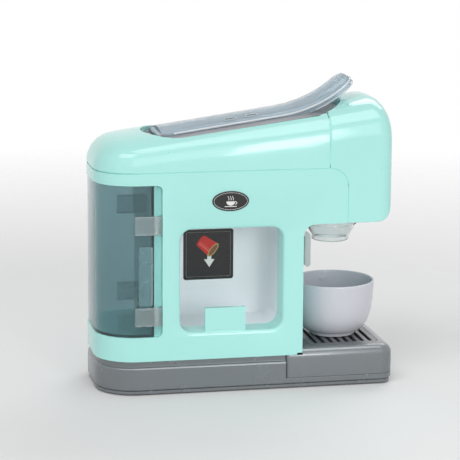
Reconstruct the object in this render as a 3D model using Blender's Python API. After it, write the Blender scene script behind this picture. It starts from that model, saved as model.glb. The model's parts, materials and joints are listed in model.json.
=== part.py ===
"""Toy capsule coffee maker, built as the separate pieces of the real toy.

Metres, +Z up. +X is the front, where the cup stands under the head, and -Y is
the side with the capsule window. The origin is on the table, at the centre of
the footprint. Run with: blender --background --python part.py
"""
import math

import bmesh
import bpy
from mathutils import Matrix, Vector

# Overall form
LENGTH = 0.229
BODY_WIDTH = 0.092
BASE_HEIGHT = 0.0265
CUP_BAY_DEPTH = 0.070
CUP_BAY_HEIGHT = 0.101
HEAD_SETBACK = 0.0028
SEAM_ABOVE_BAY = 0.042
DECK_ABOVE_SEAM = 0.0316
DECK_ANGLE = math.radians(8.1)

# Walls and running clearances
WALL = 0.0022
GAP = 0.0003
SEAM_GAP = 0.0004
RUNNING_GAP = 0.0004
OVERRUN = 0.006

# Rounding of the body
REAR_RADIUS = 0.030
REAR_TOP_RADIUS = 0.018
FRONT_EDGE_RADIUS = 0.010
NOSE_REACH = 0.0155
NOSE_DROP = 0.0205
CROWN_RISE = 0.0052
SHOULDER_ABOVE_SEAM = 0.0018
SHOULDER_SLOPE_SHARE = 0.103
NOSE_SHOULDER_SHARE = 0.5
ARCH_FULLNESS_SHARE = 2.8
BAY_FILLET = 0.0095
HEAD_CORNER = 0.0125
NOTCH_LENGTH = 0.004
NOTCH_HEIGHT = 0.0015
ARCH_STEPS = 14
CORNER_STEPS = 5
ROUND_STEPS = 6

# Seams between the mouldings
SEAM_BEHIND_FRONT = 0.036
SEAM_CORNER = 0.014

# Capsule window and the bay behind it
WINDOW_LENGTH = 0.079
WINDOW_HEIGHT = 0.079
WINDOW_SILL = 0.021
WINDOW_BORDER = 0.0157
WINDOW_RADIUS = 0.009
WINDOW_LIP = 0.0024
BAY_FRONT_MARGIN = 0.0062
BAY_BACK_MARGIN = 0.0002
BAY_WALL = 0.0016
BAY_CORNER = 0.010
STOP_WIDTH = 0.031
STOP_HEIGHT = 0.018
STOP_THICKNESS = 0.004
STOP_SETBACK = 0.0016
STOP_OFFSET = 0.0194

# Deck panel, capsule port and chute
DECK_HALF_WIDTH = 0.035
DECK_REAR = 0.0395
DECK_FRONT = 0.0325
DECK_REAR_REACH = 0.025
DECK_FRONT_REACH = 0.028
DECK_THICKNESS = 0.002
PORT_RADIUS = 0.0146
CHUTE_LENGTH = 0.048
CHUTE_MARGIN = 0.0155
CHUTE_WALL = 0.0014
CHUTE_SIDE = 0.0148
CHUTE_Y = -0.005

# Opening lever
LEVER_HALF_WIDTH = 0.0195
LEVER_PIVOT_BACK = 0.013
LEVER_PIVOT_DROP = 0.0002
LEVER_BARREL_RADIUS = 0.0031
LEVER_RIM_RISE = 0.0014
LEVER_CROWN = 0.0047
LEVER_SKIRT = 0.004
LEVER_TIP_SKIRT = 0.0012
LEVER_THICKNESS = 0.0018
LEVER_STRAIGHT = 0.093
LEVER_CURL_RADIUS = 0.098
LEVER_CURL_ANGLE = math.radians(36.4)
LEVER_TIP_RADIUS = 0.010
LEVER_SKIRT_TAPER = 0.016
LEVER_STEPS = 9
RECESS_DEPTH = 0.0038
RECESS_BACK = 0.0045
RECESS_LENGTH = 0.119
RECESS_WALL = 0.0016
EAR_THICKNESS = 0.003
EAR_RADIUS = 0.0034
PIN_RADIUS = 0.0014

# Linkage from the lever to the drop gate
CRANK_LENGTH = 0.013
CRANK_LEAN = math.radians(32.0)
CRANK_HALF_WIDTH = 0.0028
CRANK_THICKNESS = 0.0028
CRANK_Y = 0.013
CRANK_PIN_RADIUS = 0.0014
LINK_THICKNESS = 0.0024
LINK_HALF_WIDTH = 0.0027
GATE_DROP = 0.0335
GATE_BACK = 0.0036
GATE_LENGTH = 0.040
GATE_THICKNESS = 0.0018
GATE_BARREL_RADIUS = 0.0028
GATE_SHAFT_RADIUS = 0.0015

# Water tank at the rear
TANK_LENGTH = 0.048
TANK_SILL = 0.0185
TANK_HEIGHT = 0.1155
TANK_TONGUE = 0.006
TANK_WALL = 0.0018
TANK_CORNER = 0.004
TANK_INSET = 0.0006
TAB_LENGTH = 0.021
TAB_HEIGHT = 0.015
TAB_UPPER_DROP = 0.0226
TAB_LOWER_RISE = 0.0083
TAB_POCKET = 0.003
TAB_POCKET_DEPTH = 0.0035
OUTLET_RADIUS = 0.0034
OUTLET_BORE = 0.0016
OUTLET_FLANGE = 0.0055
OUTLET_FLANGE_THICKNESS = 0.0014
OUTLET_HEIGHT = 0.009
OUTLET_Y = 0.024
OUTLET_REACH = 0.011
SOCKET_LENGTH = 0.0105

# Nozzle and dispensing paddle
NOZZLE_FROM_COLUMN = 0.0325
NOZZLE_FLANGE_RADIUS = 0.0205
NOZZLE_RING_RADIUS = 0.0145
NOZZLE_FLANGE_DROP = 0.008
NOZZLE_CONE_DROP = 0.0163
NOZZLE_DROP = 0.0205
NOZZLE_WALL = 0.0015
NOZZLE_NECK_RADIUS = 0.012
NOZZLE_NECK_RISE = 0.0035
NOZZLE_BORE = 0.0028
PADDLE_FROM_COLUMN = 0.0085
PADDLE_PIVOT_RISE = 0.0056
PADDLE_HALF_WIDTH = 0.009
PADDLE_NECK = 0.0046
PADDLE_BLADE = 0.0044
PADDLE_BULGE = 0.0040
PADDLE_BULGE_DROP = 0.0135
PADDLE_LENGTH = 0.041
PADDLE_ARM = 0.008
LUG_THICKNESS = 0.0025
LUG_RADIUS = 0.004
LUG_LENGTH = 0.0175
SWITCH_LENGTH = 0.0186
SWITCH_WIDTH = 0.0064
SWITCH_HEIGHT = 0.010
SWITCH_SHELF = 0.0016
SWITCH_PLUNGER = 0.0012
SWITCH_SPACING = 0.001

# Base, drip tray and cup
BASE_NECK_HEIGHT = 0.0042
BASE_NECK_INSET = 0.0022
BEAD_HEIGHT = 0.0016
BEAD_INSET = 0.0006
BASE_TOP = 0.0024
SLAB_HEIGHT = 0.0046
TRAY_REAR_REACH = 0.0125
TRAY_HEIGHT = 0.031
TRAY_EDGE_DROP = 0.007
TRAY_EDGE_SIDE = 0.005
TRAY_EDGE_FRONT = 0.008
BASIN_DEPTH = 0.013
BASIN_MARGIN = 0.0115
GRATE_MARGIN = 0.009
GRATE_THICKNESS = 0.0024
GRATE_BAR = 0.0032
GRATE_SLOT = 0.0030
GRATE_FRAME = 0.006
GRATE_SLOTS = 8
CUP_RIM_RADIUS = 0.0325
CUP_FOOT_RADIUS = 0.0175
CUP_HEIGHT = 0.0432
CUP_FOOT_HEIGHT = 0.0026
CUP_WALL = 0.0018
CUP_SPACING = 0.0028
HANDLE_REACH = 0.0118
HANDLE_HEIGHT = 0.026
HANDLE_THICKNESS = 0.0028
HANDLE_SIDES = 8
HANDLE_TOP_DROP = 0.0065
HANDLE_ROOT_SHARE = 0.86
CUP_SHARES = (
    (0.0, 0.0), (0.36, 0.05), (0.70, 0.24), (0.90, 0.54), (1.0, 1.0),
)

# Underside, batteries and speaker
FOOT_HEIGHT = 0.0012
PLATE_THICKNESS = 0.0022
PLATE_INSET = 0.0010
FOOT_RADIUS = 0.0055
FOOT_POCKET = 0.0009
FOOT_FROM_REAR = 0.026
FOOT_FROM_FRONT = 0.018
FOOT_FROM_SIDE = 0.016
BASE_SCREW_FROM_REAR = 0.038
BASE_SCREW_FROM_SIDE = 0.0098
CELL_RADIUS = 0.0071
CELL_LENGTH = 0.0495
CELL_SPACING = 0.0148
CELL_BUTTON_RADIUS = 0.0027
CELL_BUTTON_LENGTH = 0.001
CELL_CENTRE_X = -0.042
CONTACT_THICKNESS = 0.0005
CONTACT_WIDTH = 0.010
CELL_BOX_WALL = 0.0014
CELL_FLOOR_GAP = 0.0008
DOOR_MARGIN = 0.003
DOOR_END_MARGIN = 0.0075
DOOR_THICKNESS = 0.0014
DOOR_SINK = 0.0007
DOOR_SCREW_LENGTH = 0.006
DOOR_BOSS_HEIGHT = 0.005
SPEAKER_RADIUS = 0.016
SPEAKER_DEPTH = 0.0075
SPEAKER_MAGNET_RADIUS = 0.009
SPEAKER_FROM_BOX = 0.0035
SPEAKER_SLOTS = 5
SPEAKER_SLOT_WIDTH = 0.0016
SPEAKER_SLOT_PITCH = 0.0042
SLIDER_FROM_REAR = 0.027
SLIDER_LENGTH = 0.006
SLIDER_WIDTH = 0.004
SLIDER_TRAVEL = 0.004
SLIDER_FLANGE = 0.0016
SLIDER_FLANGE_THICKNESS = 0.0012
SLIDER_RECESS = 0.0006
SCREW_HEAD_RADIUS = 0.0027
SCREW_HEAD_HEIGHT = 0.0013
SCREW_SHANK_RADIUS = 0.0012
SCREW_LENGTH = 0.009
BASE_SCREW_LENGTH = 0.0062
BODY_SCREW_LENGTH = 0.016
BOSS_RADIUS = 0.004
BOSS_EDGE = 0.0082
BOSS_SINK = 0.010
SCREW_SIDES = 10
CELL_SIDES = 16

# Head electronics
BUTTON_RADIUS = 0.0095
BUTTON_PROUD = 0.002
BUTTON_TRAVEL = 0.0012
BUTTON_FLANGE = 0.0013
BUTTON_FLANGE_THICKNESS = 0.0012
BUTTON_ABOVE_BAY = 0.044
BUTTON_STEM_RADIUS = 0.0025
BOARD_SPACING = 0.0078
BOARD_THICKNESS = 0.0016
BOARD_HALF_WIDTH = 0.017
BOARD_HALF_HEIGHT = 0.015
POST_RADIUS = 0.0022
TACT_SIZE = 0.006
TACT_HEIGHT = 0.0022
LED_RADIUS = 0.0015
LED_LENGTH = 0.0026
LED_OFFSET = 0.0062

# Pump and hoses
PUMP_RADIUS = 0.0115
PUMP_HEAD_RADIUS = 0.0135
PUMP_LENGTH = 0.017
PUMP_HEAD_LENGTH = 0.007
PUMP_FROM_COLUMN = 0.024
PUMP_ABOVE_BAY = 0.0205
HOSE_RADIUS = 0.0022
HOSE_BEND = 0.012
HOSE_SIDES = 1
NIPPLE_LENGTH = 0.004

# Round pieces
ROUND_SIDES = 24
SMALL_SIDES = 12

# Places worked out from the sizes above
FRONT_X = LENGTH / 2
BACK_X = -LENGTH / 2
HEAD_X = FRONT_X - HEAD_SETBACK
COLUMN_X = HEAD_X - CUP_BAY_DEPTH
SIDE_Y = BODY_WIDTH / 2
BAY_TOP_Z = BASE_HEIGHT + CUP_BAY_HEIGHT
NICHE_Z0 = BASE_HEIGHT + TANK_SILL
NICHE_Z1 = NICHE_Z0 + TANK_HEIGHT
SEAM_Z = max(BAY_TOP_Z + SEAM_ABOVE_BAY, NICHE_Z1 + WALL + SEAM_GAP)
SEAM_LOW_X = HEAD_X - SEAM_BEHIND_FRONT
SEAM_HIGH_X = SEAM_LOW_X - SEAM_CORNER
TOP_Z = SEAM_Z + DECK_ABOVE_SEAM + NOSE_DROP + CROWN_RISE + OVERRUN

WINDOW_X1 = COLUMN_X - WINDOW_BORDER
WINDOW_X0 = WINDOW_X1 - WINDOW_LENGTH
WINDOW_Z0 = BASE_HEIGHT + WINDOW_SILL
WINDOW_Z1 = WINDOW_Z0 + WINDOW_HEIGHT
TUNNEL_Y = CHUTE_Y - CHUTE_SIDE - BAY_FRONT_MARGIN
BAY_BACK_Y = CHUTE_Y + CHUTE_SIDE + BAY_BACK_MARGIN
BAY_CEILING_Z = WINDOW_Z1 + BAY_WALL

TANK_EDGE_X = BACK_X + TANK_LENGTH
NICHE_X = TANK_EDGE_X - TANK_TONGUE
RABBET_Y = SIDE_Y - TANK_INSET - TANK_WALL - GAP

DECK_X0 = BACK_X + DECK_REAR
DECK_X1 = HEAD_X - DECK_FRONT
PIVOT_X = DECK_X0 + LEVER_PIVOT_BACK

CHUTE_X0 = WINDOW_X0 + CHUTE_MARGIN
CHUTE_X1 = CHUTE_X0 + CHUTE_LENGTH
PORT_X = (CHUTE_X0 + CHUTE_X1) / 2

NOZZLE_X = COLUMN_X + NOZZLE_FROM_COLUMN
PADDLE_X = COLUMN_X + PADDLE_FROM_COLUMN
PADDLE_Z = BAY_TOP_Z + PADDLE_PIVOT_RISE
LUG_Y = PADDLE_HALF_WIDTH + 2 * RUNNING_GAP
SWITCH_X = PADDLE_X + PADDLE_NECK / 2 + SWITCH_PLUNGER + SWITCH_SPACING

PLATE_TOP_Z = FOOT_HEIGHT + PLATE_THICKNESS
HOUSING_Z0 = PLATE_TOP_Z + GAP
SLAB_Z = HOUSING_Z0 + SLAB_HEIGHT
HOUSING_Z1 = BASE_HEIGHT - GAP
TRAY_X0 = COLUMN_X - TRAY_REAR_REACH
CUP_X = COLUMN_X + CUP_SPACING + CUP_RIM_RADIUS

CELL_Z = HOUSING_Z0 + CELL_RADIUS + CELL_FLOOR_GAP
CELL_COUNT = 3
CELL_BOX_X = CELL_LENGTH / 2 + CELL_BUTTON_LENGTH + CONTACT_THICKNESS + 2 * GAP
CELL_BOX_Y = CELL_SPACING * (CELL_COUNT - 1) / 2 + CELL_RADIUS + GAP
CELL_BOX_TOP = CELL_Z + CELL_RADIUS + GAP
SPEAKER_X = CELL_CENTRE_X + CELL_BOX_X + CELL_BOX_WALL + SPEAKER_FROM_BOX + SPEAKER_RADIUS
SLIDER_X = BACK_X + SLIDER_FROM_REAR

BUTTON_Z = BAY_TOP_Z + BUTTON_ABOVE_BAY
BOARD_X = HEAD_X - WALL - BOARD_SPACING
PUMP_X = COLUMN_X - PUMP_FROM_COLUMN
PUMP_Z = BAY_TOP_Z + PUMP_ABOVE_BAY

# Colours, roughness and metallic of the materials
MATERIALS = {
    "mint": ((0.42, 0.84, 0.76), 0.22, 0.0),
    "clear_smoke": ((0.45, 0.60, 0.66), 0.10, 0.0),
    "deck_grey": ((0.30, 0.30, 0.32), 0.35, 0.0),
    "bay_white": ((0.72, 0.76, 0.80), 0.35, 0.0),
    "base_silver": ((0.24, 0.27, 0.30), 0.30, 0.4),
    "cup_white": ((0.80, 0.80, 0.82), 0.15, 0.0),
    "clear": ((0.75, 0.80, 0.80), 0.08, 0.0),
    "button_grey": ((0.50, 0.52, 0.54), 0.25, 0.0),
    "steel": ((0.60, 0.60, 0.60), 0.30, 1.0),
    "black_plastic": ((0.03, 0.03, 0.03), 0.45, 0.0),
    "board_green": ((0.05, 0.22, 0.10), 0.40, 0.0),
    "rubber": ((0.05, 0.05, 0.05), 0.80, 0.0),
    "hose": ((0.70, 0.70, 0.68), 0.40, 0.0),
    "cell": ((0.10, 0.12, 0.35), 0.40, 0.2),
    "led": ((0.80, 0.20, 0.15), 0.10, 0.0),
}


def clear_scene():
    for thing in list(bpy.data.objects):
        bpy.data.objects.remove(thing, do_unlink=True)


def make_materials():
    made = {}
    for name, (colour, roughness, metallic) in MATERIALS.items():
        material = bpy.data.materials.new(name)
        material.use_nodes = True
        shader = material.node_tree.nodes["Principled BSDF"]
        shader.inputs["Base Color"].default_value = (*colour, 1.0)
        shader.inputs["Roughness"].default_value = roughness
        shader.inputs["Metallic"].default_value = metallic
        made[name] = material
    return made


def deck_height(x):
    """Height of the sloping deck plane over a place along the machine."""
    return SEAM_Z + DECK_ABOVE_SEAM + x * math.tan(DECK_ANGLE)


# Meshes

def object_from(bm, name="work"):
    bmesh.ops.recalc_face_normals(bm, faces=bm.faces)
    mesh = bpy.data.meshes.new(name)
    bm.to_mesh(mesh)
    bm.free()
    thing = bpy.data.objects.new(name, mesh)
    bpy.context.scene.collection.objects.link(thing)
    return thing


def loft(rings):
    """Closed solid through rings that all have the same number of points."""
    bm = bmesh.new()
    made = [[bm.verts.new(point) for point in ring] for ring in rings]
    for lower, upper in zip(made, made[1:]):
        for index in range(len(lower)):
            after = (index + 1) % len(lower)
            bm.faces.new((lower[index], lower[after], upper[after], upper[index]))
    bm.faces.new(made[0])
    bm.faces.new(made[-1])
    return object_from(bm)


def prism(outline, axis, low, high):
    """Outline of (y, z) for axis X, (x, z) for Y or (x, y) for Z, pushed from low to high."""
    place = {
        "X": lambda a, b, depth: (depth, a, b),
        "Y": lambda a, b, depth: (a, depth, b),
        "Z": lambda a, b, depth: (a, b, depth),
    }[axis]
    return loft([[place(a, b, depth) for a, b in outline] for depth in (low, high)])


def box(low, high):
    corners = ((low[0], low[1]), (high[0], low[1]), (high[0], high[1]), (low[0], high[1]))
    return prism(corners, "Z", low[2], high[2])


def arc(centre, radius, start, end, steps):
    """Points of an arc, angles in degrees, both ends included."""
    points = []
    for step in range(steps + 1):
        angle = math.radians(start + (end - start) * step / steps)
        points.append((centre[0] + radius * math.cos(angle), centre[1] + radius * math.sin(angle)))
    return points


def rounded_rectangle(a0, b0, a1, b1, radius, steps=CORNER_STEPS):
    radius = min(radius, (a1 - a0) / 2 - GAP, (b1 - b0) / 2 - GAP)
    return (arc((a1 - radius, b0 + radius), radius, -90, 0, steps)
            + arc((a1 - radius, b1 - radius), radius, 0, 90, steps)
            + arc((a0 + radius, b1 - radius), radius, 90, 180, steps)
            + arc((a0 + radius, b0 + radius), radius, 180, 270, steps))


def footprint(x0, x1, half_width, rear_radius, front_radius, steps=CORNER_STEPS):
    """Plan outline with its own radius at the rear and at the front corners."""
    return (arc((x1 - front_radius, -half_width + front_radius), front_radius, -90, 0, steps)
            + arc((x1 - front_radius, half_width - front_radius), front_radius, 0, 90, steps)
            + arc((x0 + rear_radius, half_width - rear_radius), rear_radius, 90, 180, steps)
            + arc((x0 + rear_radius, -half_width + rear_radius), rear_radius, 180, 270, steps))


def revolve(profile, centre, axis="Z", sides=ROUND_SIDES):
    """Closed solid from a profile of (radius, height); a radius of zero closes on the axis."""
    bm = bmesh.new()
    rings = []
    for radius, height in profile:
        if radius == 0:
            rings.append([bm.verts.new((0, 0, height))])
            continue
        turn = [math.tau * side / sides for side in range(sides)]
        rings.append([bm.verts.new((radius * math.cos(a), radius * math.sin(a), height)) for a in turn])
    if profile[0][0] != 0:
        rings.append(rings[0])
    for lower, upper in zip(rings, rings[1:]):
        if len(lower) == 1 and len(upper) == 1:
            continue
        for side in range(sides):
            after = (side + 1) % sides
            corners = [lower[side % len(lower)], lower[after % len(lower)],
                       upper[after % len(upper)], upper[side % len(upper)]]
            bm.faces.new(list(dict.fromkeys(corners)))
    turn = {
        "Z": Matrix(),
        "X": Matrix.Rotation(math.pi / 2, 4, "Y"),
        "Y": Matrix.Rotation(-math.pi / 2, 4, "X"),
        "-Y": Matrix.Rotation(math.pi / 2, 4, "X"),
    }[axis]
    bmesh.ops.transform(bm, matrix=Matrix.Translation(centre) @ turn, verts=bm.verts)
    return object_from(bm)


def rod(start, axis, radius, length, sides=SMALL_SIDES):
    """Plain round bar from start along +axis."""
    return revolve([(0, 0), (radius, 0), (radius, length), (0, length)], start, axis, sides)


def tilted_prism(outline, below, above):
    """Plan outline pushed between two planes parallel to the deck."""
    return loft([[(x, y, deck_height(x) + rise) for x, y in outline] for rise in (below, above)])


def copy(thing):
    twin = thing.copy()
    twin.data = thing.data.copy()
    bpy.context.scene.collection.objects.link(twin)
    return twin


def discard(thing):
    mesh = thing.data
    bpy.data.objects.remove(thing, do_unlink=True)
    bpy.data.meshes.remove(mesh)


def combine(target, tool, operation, solver="EXACT"):
    """Apply a Boolean to target and use up the tool."""
    modifier = target.modifiers.new("combine", "BOOLEAN")
    modifier.object = tool
    modifier.operation = operation
    modifier.solver = solver
    depsgraph = bpy.context.evaluated_depsgraph_get()
    result = bpy.data.meshes.new_from_object(target.evaluated_get(depsgraph))
    target.modifiers.clear()
    used = target.data
    target.data = result
    bpy.data.meshes.remove(used)
    discard(tool)
    return target


def cut(target, *tools, solver="EXACT"):
    for tool in tools:
        combine(target, tool, "DIFFERENCE", solver)
    return target


def join(target, *tools):
    for tool in tools:
        combine(target, tool, "UNION")
    return target


def common(target, tool, solver="EXACT"):
    return combine(target, tool, "INTERSECT", solver)


def moulding(shell, kind):
    """The shell's share of one moulding; its thin double-curved skin suits the manifold solver."""
    return common(copy(shell), region(kind), "MANIFOLD")


def finish(thing, name, material, pivot=None):
    """Name a piece, shade it, and put a moving piece's origin on its joint's axis."""
    thing.name = name
    thing.data.name = name
    thing.data.materials.clear()
    thing.data.materials.append(material)
    thing.data.shade_smooth()
    thing.data.set_sharp_from_angle(angle=math.radians(35))
    if pivot is not None:
        thing.data.transform(Matrix.Translation(-Vector(pivot)))
        thing.location = pivot
    return thing


def finish_each(thing, name, material, places):
    """Set one piece down at several places, as separate objects on the same mesh."""
    finish(thing, f"{name}_1", material)
    thing.location = places[0]
    for number, place in enumerate(places[1:], 2):
        twin = thing.copy()
        twin.name = f"{name}_{number}"
        twin.location = place
        bpy.context.scene.collection.objects.link(twin)


# Body form

def fall(reach, radius, drop):
    """How far an elliptical edge has fallen at a distance past its start."""
    share = min(max(reach / radius, 0), 1)
    return drop * (1 - math.sqrt(1 - share * share))


def body_section(x, inset):
    """One arched section of the body, its skin moved in by inset."""
    rear = BACK_X + inset
    front = HEAD_X - inset
    rear_radius = REAR_RADIUS - inset
    edge_radius = FRONT_EDGE_RADIUS - inset
    top_radius = REAR_TOP_RADIUS - inset
    half = (SIDE_Y - inset - fall(rear + rear_radius - x, rear_radius, rear_radius)
            - fall(x - front + edge_radius, edge_radius, edge_radius))
    nose = fall(x - front + NOSE_REACH - inset, NOSE_REACH - inset, NOSE_DROP - inset)
    crown = (deck_height(x) + CROWN_RISE - inset - nose
             - fall(rear + top_radius - x, top_radius, top_radius))
    shoulder = (SEAM_Z + SHOULDER_ABOVE_SEAM + (x - BACK_X) * SHOULDER_SLOPE_SHARE
                - nose * NOSE_SHOULDER_SHARE)
    low = BASE_HEIGHT + inset
    ring = [(x, -half, low), (x, half, low)]
    power = 2 / ARCH_FULLNESS_SHARE
    for step in range(ARCH_STEPS + 1):
        turn = math.pi * step / ARCH_STEPS
        across = math.copysign(abs(math.cos(turn)) ** power, math.cos(turn))
        ring.append((x, half * across, shoulder + (crown - shoulder) * abs(math.sin(turn)) ** power))
    return ring


def body_form(inset=0.0):
    """The whole body as one solid: round rear corners, arched top and a round nose."""
    rear = BACK_X + inset
    front = HEAD_X - inset
    rear_radius = REAR_RADIUS - inset
    reach = NOSE_REACH - inset
    turns = [math.pi / 2 * step / ROUND_STEPS for step in range(ROUND_STEPS + 1)]
    places = [rear + rear_radius * (1 - math.cos(turn)) for turn in turns]
    places += [front - reach * (1 - math.cos(turn)) for turn in reversed(turns)]
    return loft([body_section(x, inset) for x in places])


def cup_bay(grow=0.0):
    """Cutter for the space where the cup stands, under the head."""
    column = COLUMN_X - grow
    ceiling = BAY_TOP_Z + grow
    fillet = BAY_FILLET + grow
    corner = HEAD_CORNER - grow
    low = BASE_HEIGHT - OVERRUN
    outline = [(column, low)]
    outline += arc((column + fillet, ceiling - fillet), fillet, 180, 90, CORNER_STEPS)
    outline += arc((HEAD_X - grow - corner, ceiling + corner), corner, 270, 360, CORNER_STEPS)
    outline += [(HEAD_X + OVERRUN, ceiling + corner), (HEAD_X + OVERRUN, low)]
    return prism(outline, "Y", -SIDE_Y - OVERRUN, SIDE_Y + OVERRUN)


def niche_cutter():
    """Cutter for the tank's niche, with its side rabbets and the pockets for the tabs."""
    rear = BACK_X - OVERRUN
    wide = SIDE_Y + OVERRUN
    outline = rounded_rectangle(rear - TANK_LENGTH, NICHE_Z0, TANK_EDGE_X, NICHE_Z1, TANK_CORNER)
    tool = prism(outline, "Y", -wide, wide)
    cut(tool, box((NICHE_X, -RABBET_Y, NICHE_Z0 - OVERRUN), (TANK_EDGE_X + OVERRUN, RABBET_Y, TOP_Z)))
    for side in (-1, 1):
        for low in tab_heights():
            edges = sorted((side * (RABBET_Y - TAB_POCKET_DEPTH), side * (RABBET_Y + TANK_WALL / 2)))
            pocket = box((TANK_EDGE_X - TAB_POCKET, edges[0], low),
                         (TANK_EDGE_X - GAP, edges[1], low + TAB_HEIGHT))
            join(tool, pocket)
    return tool


def tab_heights():
    """Lower edges of the tank's two snap tabs on each side."""
    return (NICHE_Z0 + TAB_LOWER_RISE, NICHE_Z1 - TAB_UPPER_DROP - TAB_HEIGHT)


def window_outline(grow=0.0):
    return rounded_rectangle(WINDOW_X0 - grow, WINDOW_Z0 - grow, WINDOW_X1 + grow, WINDOW_Z1 + grow,
                             WINDOW_RADIUS + grow)


def window_cutter():
    """Cutter for the window, with a rounded outer lip."""
    rings = [[(x, -SIDE_Y - OVERRUN, z) for x, z in window_outline(WINDOW_LIP)]]
    for step in range(CORNER_STEPS + 1):
        depth = WINDOW_LIP * step / CORNER_STEPS
        spread = WINDOW_LIP - math.sqrt(WINDOW_LIP ** 2 - (WINDOW_LIP - depth) ** 2)
        rings.append([(x, -SIDE_Y + depth, z) for x, z in window_outline(spread)])
    rings.append([(x, TUNNEL_Y + OVERRUN, z) for x, z in window_outline()])
    return loft(rings)


def deck_outline(grow=0.0):
    """Plan outline of the deck: straight sides and elliptical ends."""
    half = DECK_HALF_WIDTH + grow
    points = []
    for centre, reach, start in ((DECK_X1 - DECK_FRONT_REACH, DECK_FRONT_REACH + grow, -90),
                                 (DECK_X0 + DECK_REAR_REACH, DECK_REAR_REACH + grow, 90)):
        for across, along in arc((0, 0), 1, start, start + 180, 2 * ROUND_STEPS):
            points.append((centre + reach * across, half * along))
    return points


def region(kind):
    """Side-view region of one moulding, kept half a seam gap from the seam line."""
    half = SEAM_GAP / 2
    low = BASE_HEIGHT - OVERRUN
    corner = (SEAM_LOW_X - SEAM_CORNER, SEAM_Z - SEAM_CORNER)
    rear = BACK_X - OVERRUN
    front = HEAD_X + OVERRUN
    if kind == "lower":
        outline = [(rear, low), (SEAM_LOW_X - half, low)]
        outline += arc(corner, SEAM_CORNER - half, 0, 90, ROUND_STEPS)
        outline += [(rear, SEAM_Z - half)]
    elif kind == "top":
        outline = [(rear, SEAM_Z + half), (SEAM_HIGH_X - half, SEAM_Z + half),
                   (SEAM_HIGH_X - half, TOP_Z), (rear, TOP_Z)]
    else:
        outline = [(front, low), (front, TOP_Z), (SEAM_HIGH_X + half, TOP_Z)]
        outline += arc(corner, SEAM_CORNER + half, 90, 0, ROUND_STEPS)
        outline[3:3] = [(SEAM_HIGH_X + half, SEAM_Z + SEAM_CORNER)]
        outline += [(SEAM_LOW_X + half, low)]
    return prism(outline, "Y", -SIDE_Y - OVERRUN, SIDE_Y + OVERRUN)


def boss_places():
    """Centres (x, z) of the four screw bosses that hold the two body halves together."""
    front = COLUMN_X - BOSS_EDGE
    rear = WINDOW_X0 - WALL - BAY_WALL - BOSS_RADIUS / 2
    low = BASE_HEIGHT + BOSS_EDGE
    high = BAY_TOP_Z + BAY_WALL + BOSS_EDGE
    return ((front, low), (front, high), (rear, low), (rear, high))


def body_shell():
    """Hollow body with the niche, the window tunnel and the well of the deck."""
    wide = SIDE_Y + OVERRUN
    hollow = body_form(WALL)
    cut(hollow, cup_bay(WALL))
    low, high = NICHE_Z0 - WALL, NICHE_Z1 + WALL
    inner = RABBET_Y - TAB_POCKET_DEPTH - WALL
    cut(hollow, box((BACK_X, -wide, low), (NICHE_X + WALL, wide, high)))
    cut(hollow, box((BACK_X, -wide, low), (TANK_EDGE_X + WALL, -inner, high)))
    cut(hollow, box((BACK_X, inner, low), (TANK_EDGE_X + WALL, wide, high)))
    cut(hollow, prism(window_outline(WALL), "Y", -wide, TUNNEL_Y))
    cut(hollow, tilted_prism(deck_outline(WALL), -DECK_THICKNESS - WALL, TOP_Z))
    shell = body_form()
    cut(shell, cup_bay(), hollow, niche_cutter(), window_cutter(), solver="MANIFOLD")
    cut(shell, tilted_prism(deck_outline(), -DECK_THICKNESS - WALL - OVERRUN, TOP_Z), solver="MANIFOLD")
    notch = box((COLUMN_X - NOTCH_LENGTH, -wide, BASE_HEIGHT - OVERRUN),
                (COLUMN_X + OVERRUN, wide, BASE_HEIGHT + NOTCH_HEIGHT))
    return cut(shell, notch, solver="MANIFOLD")


def nozzle_hole():
    return rod((NOZZLE_X, 0, BAY_TOP_Z - OVERRUN), "Z", NOZZLE_NECK_RADIUS + GAP,
               WALL + 2 * OVERRUN, ROUND_SIDES)


def paddle_slot():
    reach = PADDLE_NECK / 2 + 3 * RUNNING_GAP
    wide = PADDLE_HALF_WIDTH + RUNNING_GAP
    return box((PADDLE_X - reach, -wide, BAY_TOP_Z - BAY_FILLET),
               (PADDLE_X + reach, wide, BAY_TOP_Z + WALL + GAP))


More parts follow.
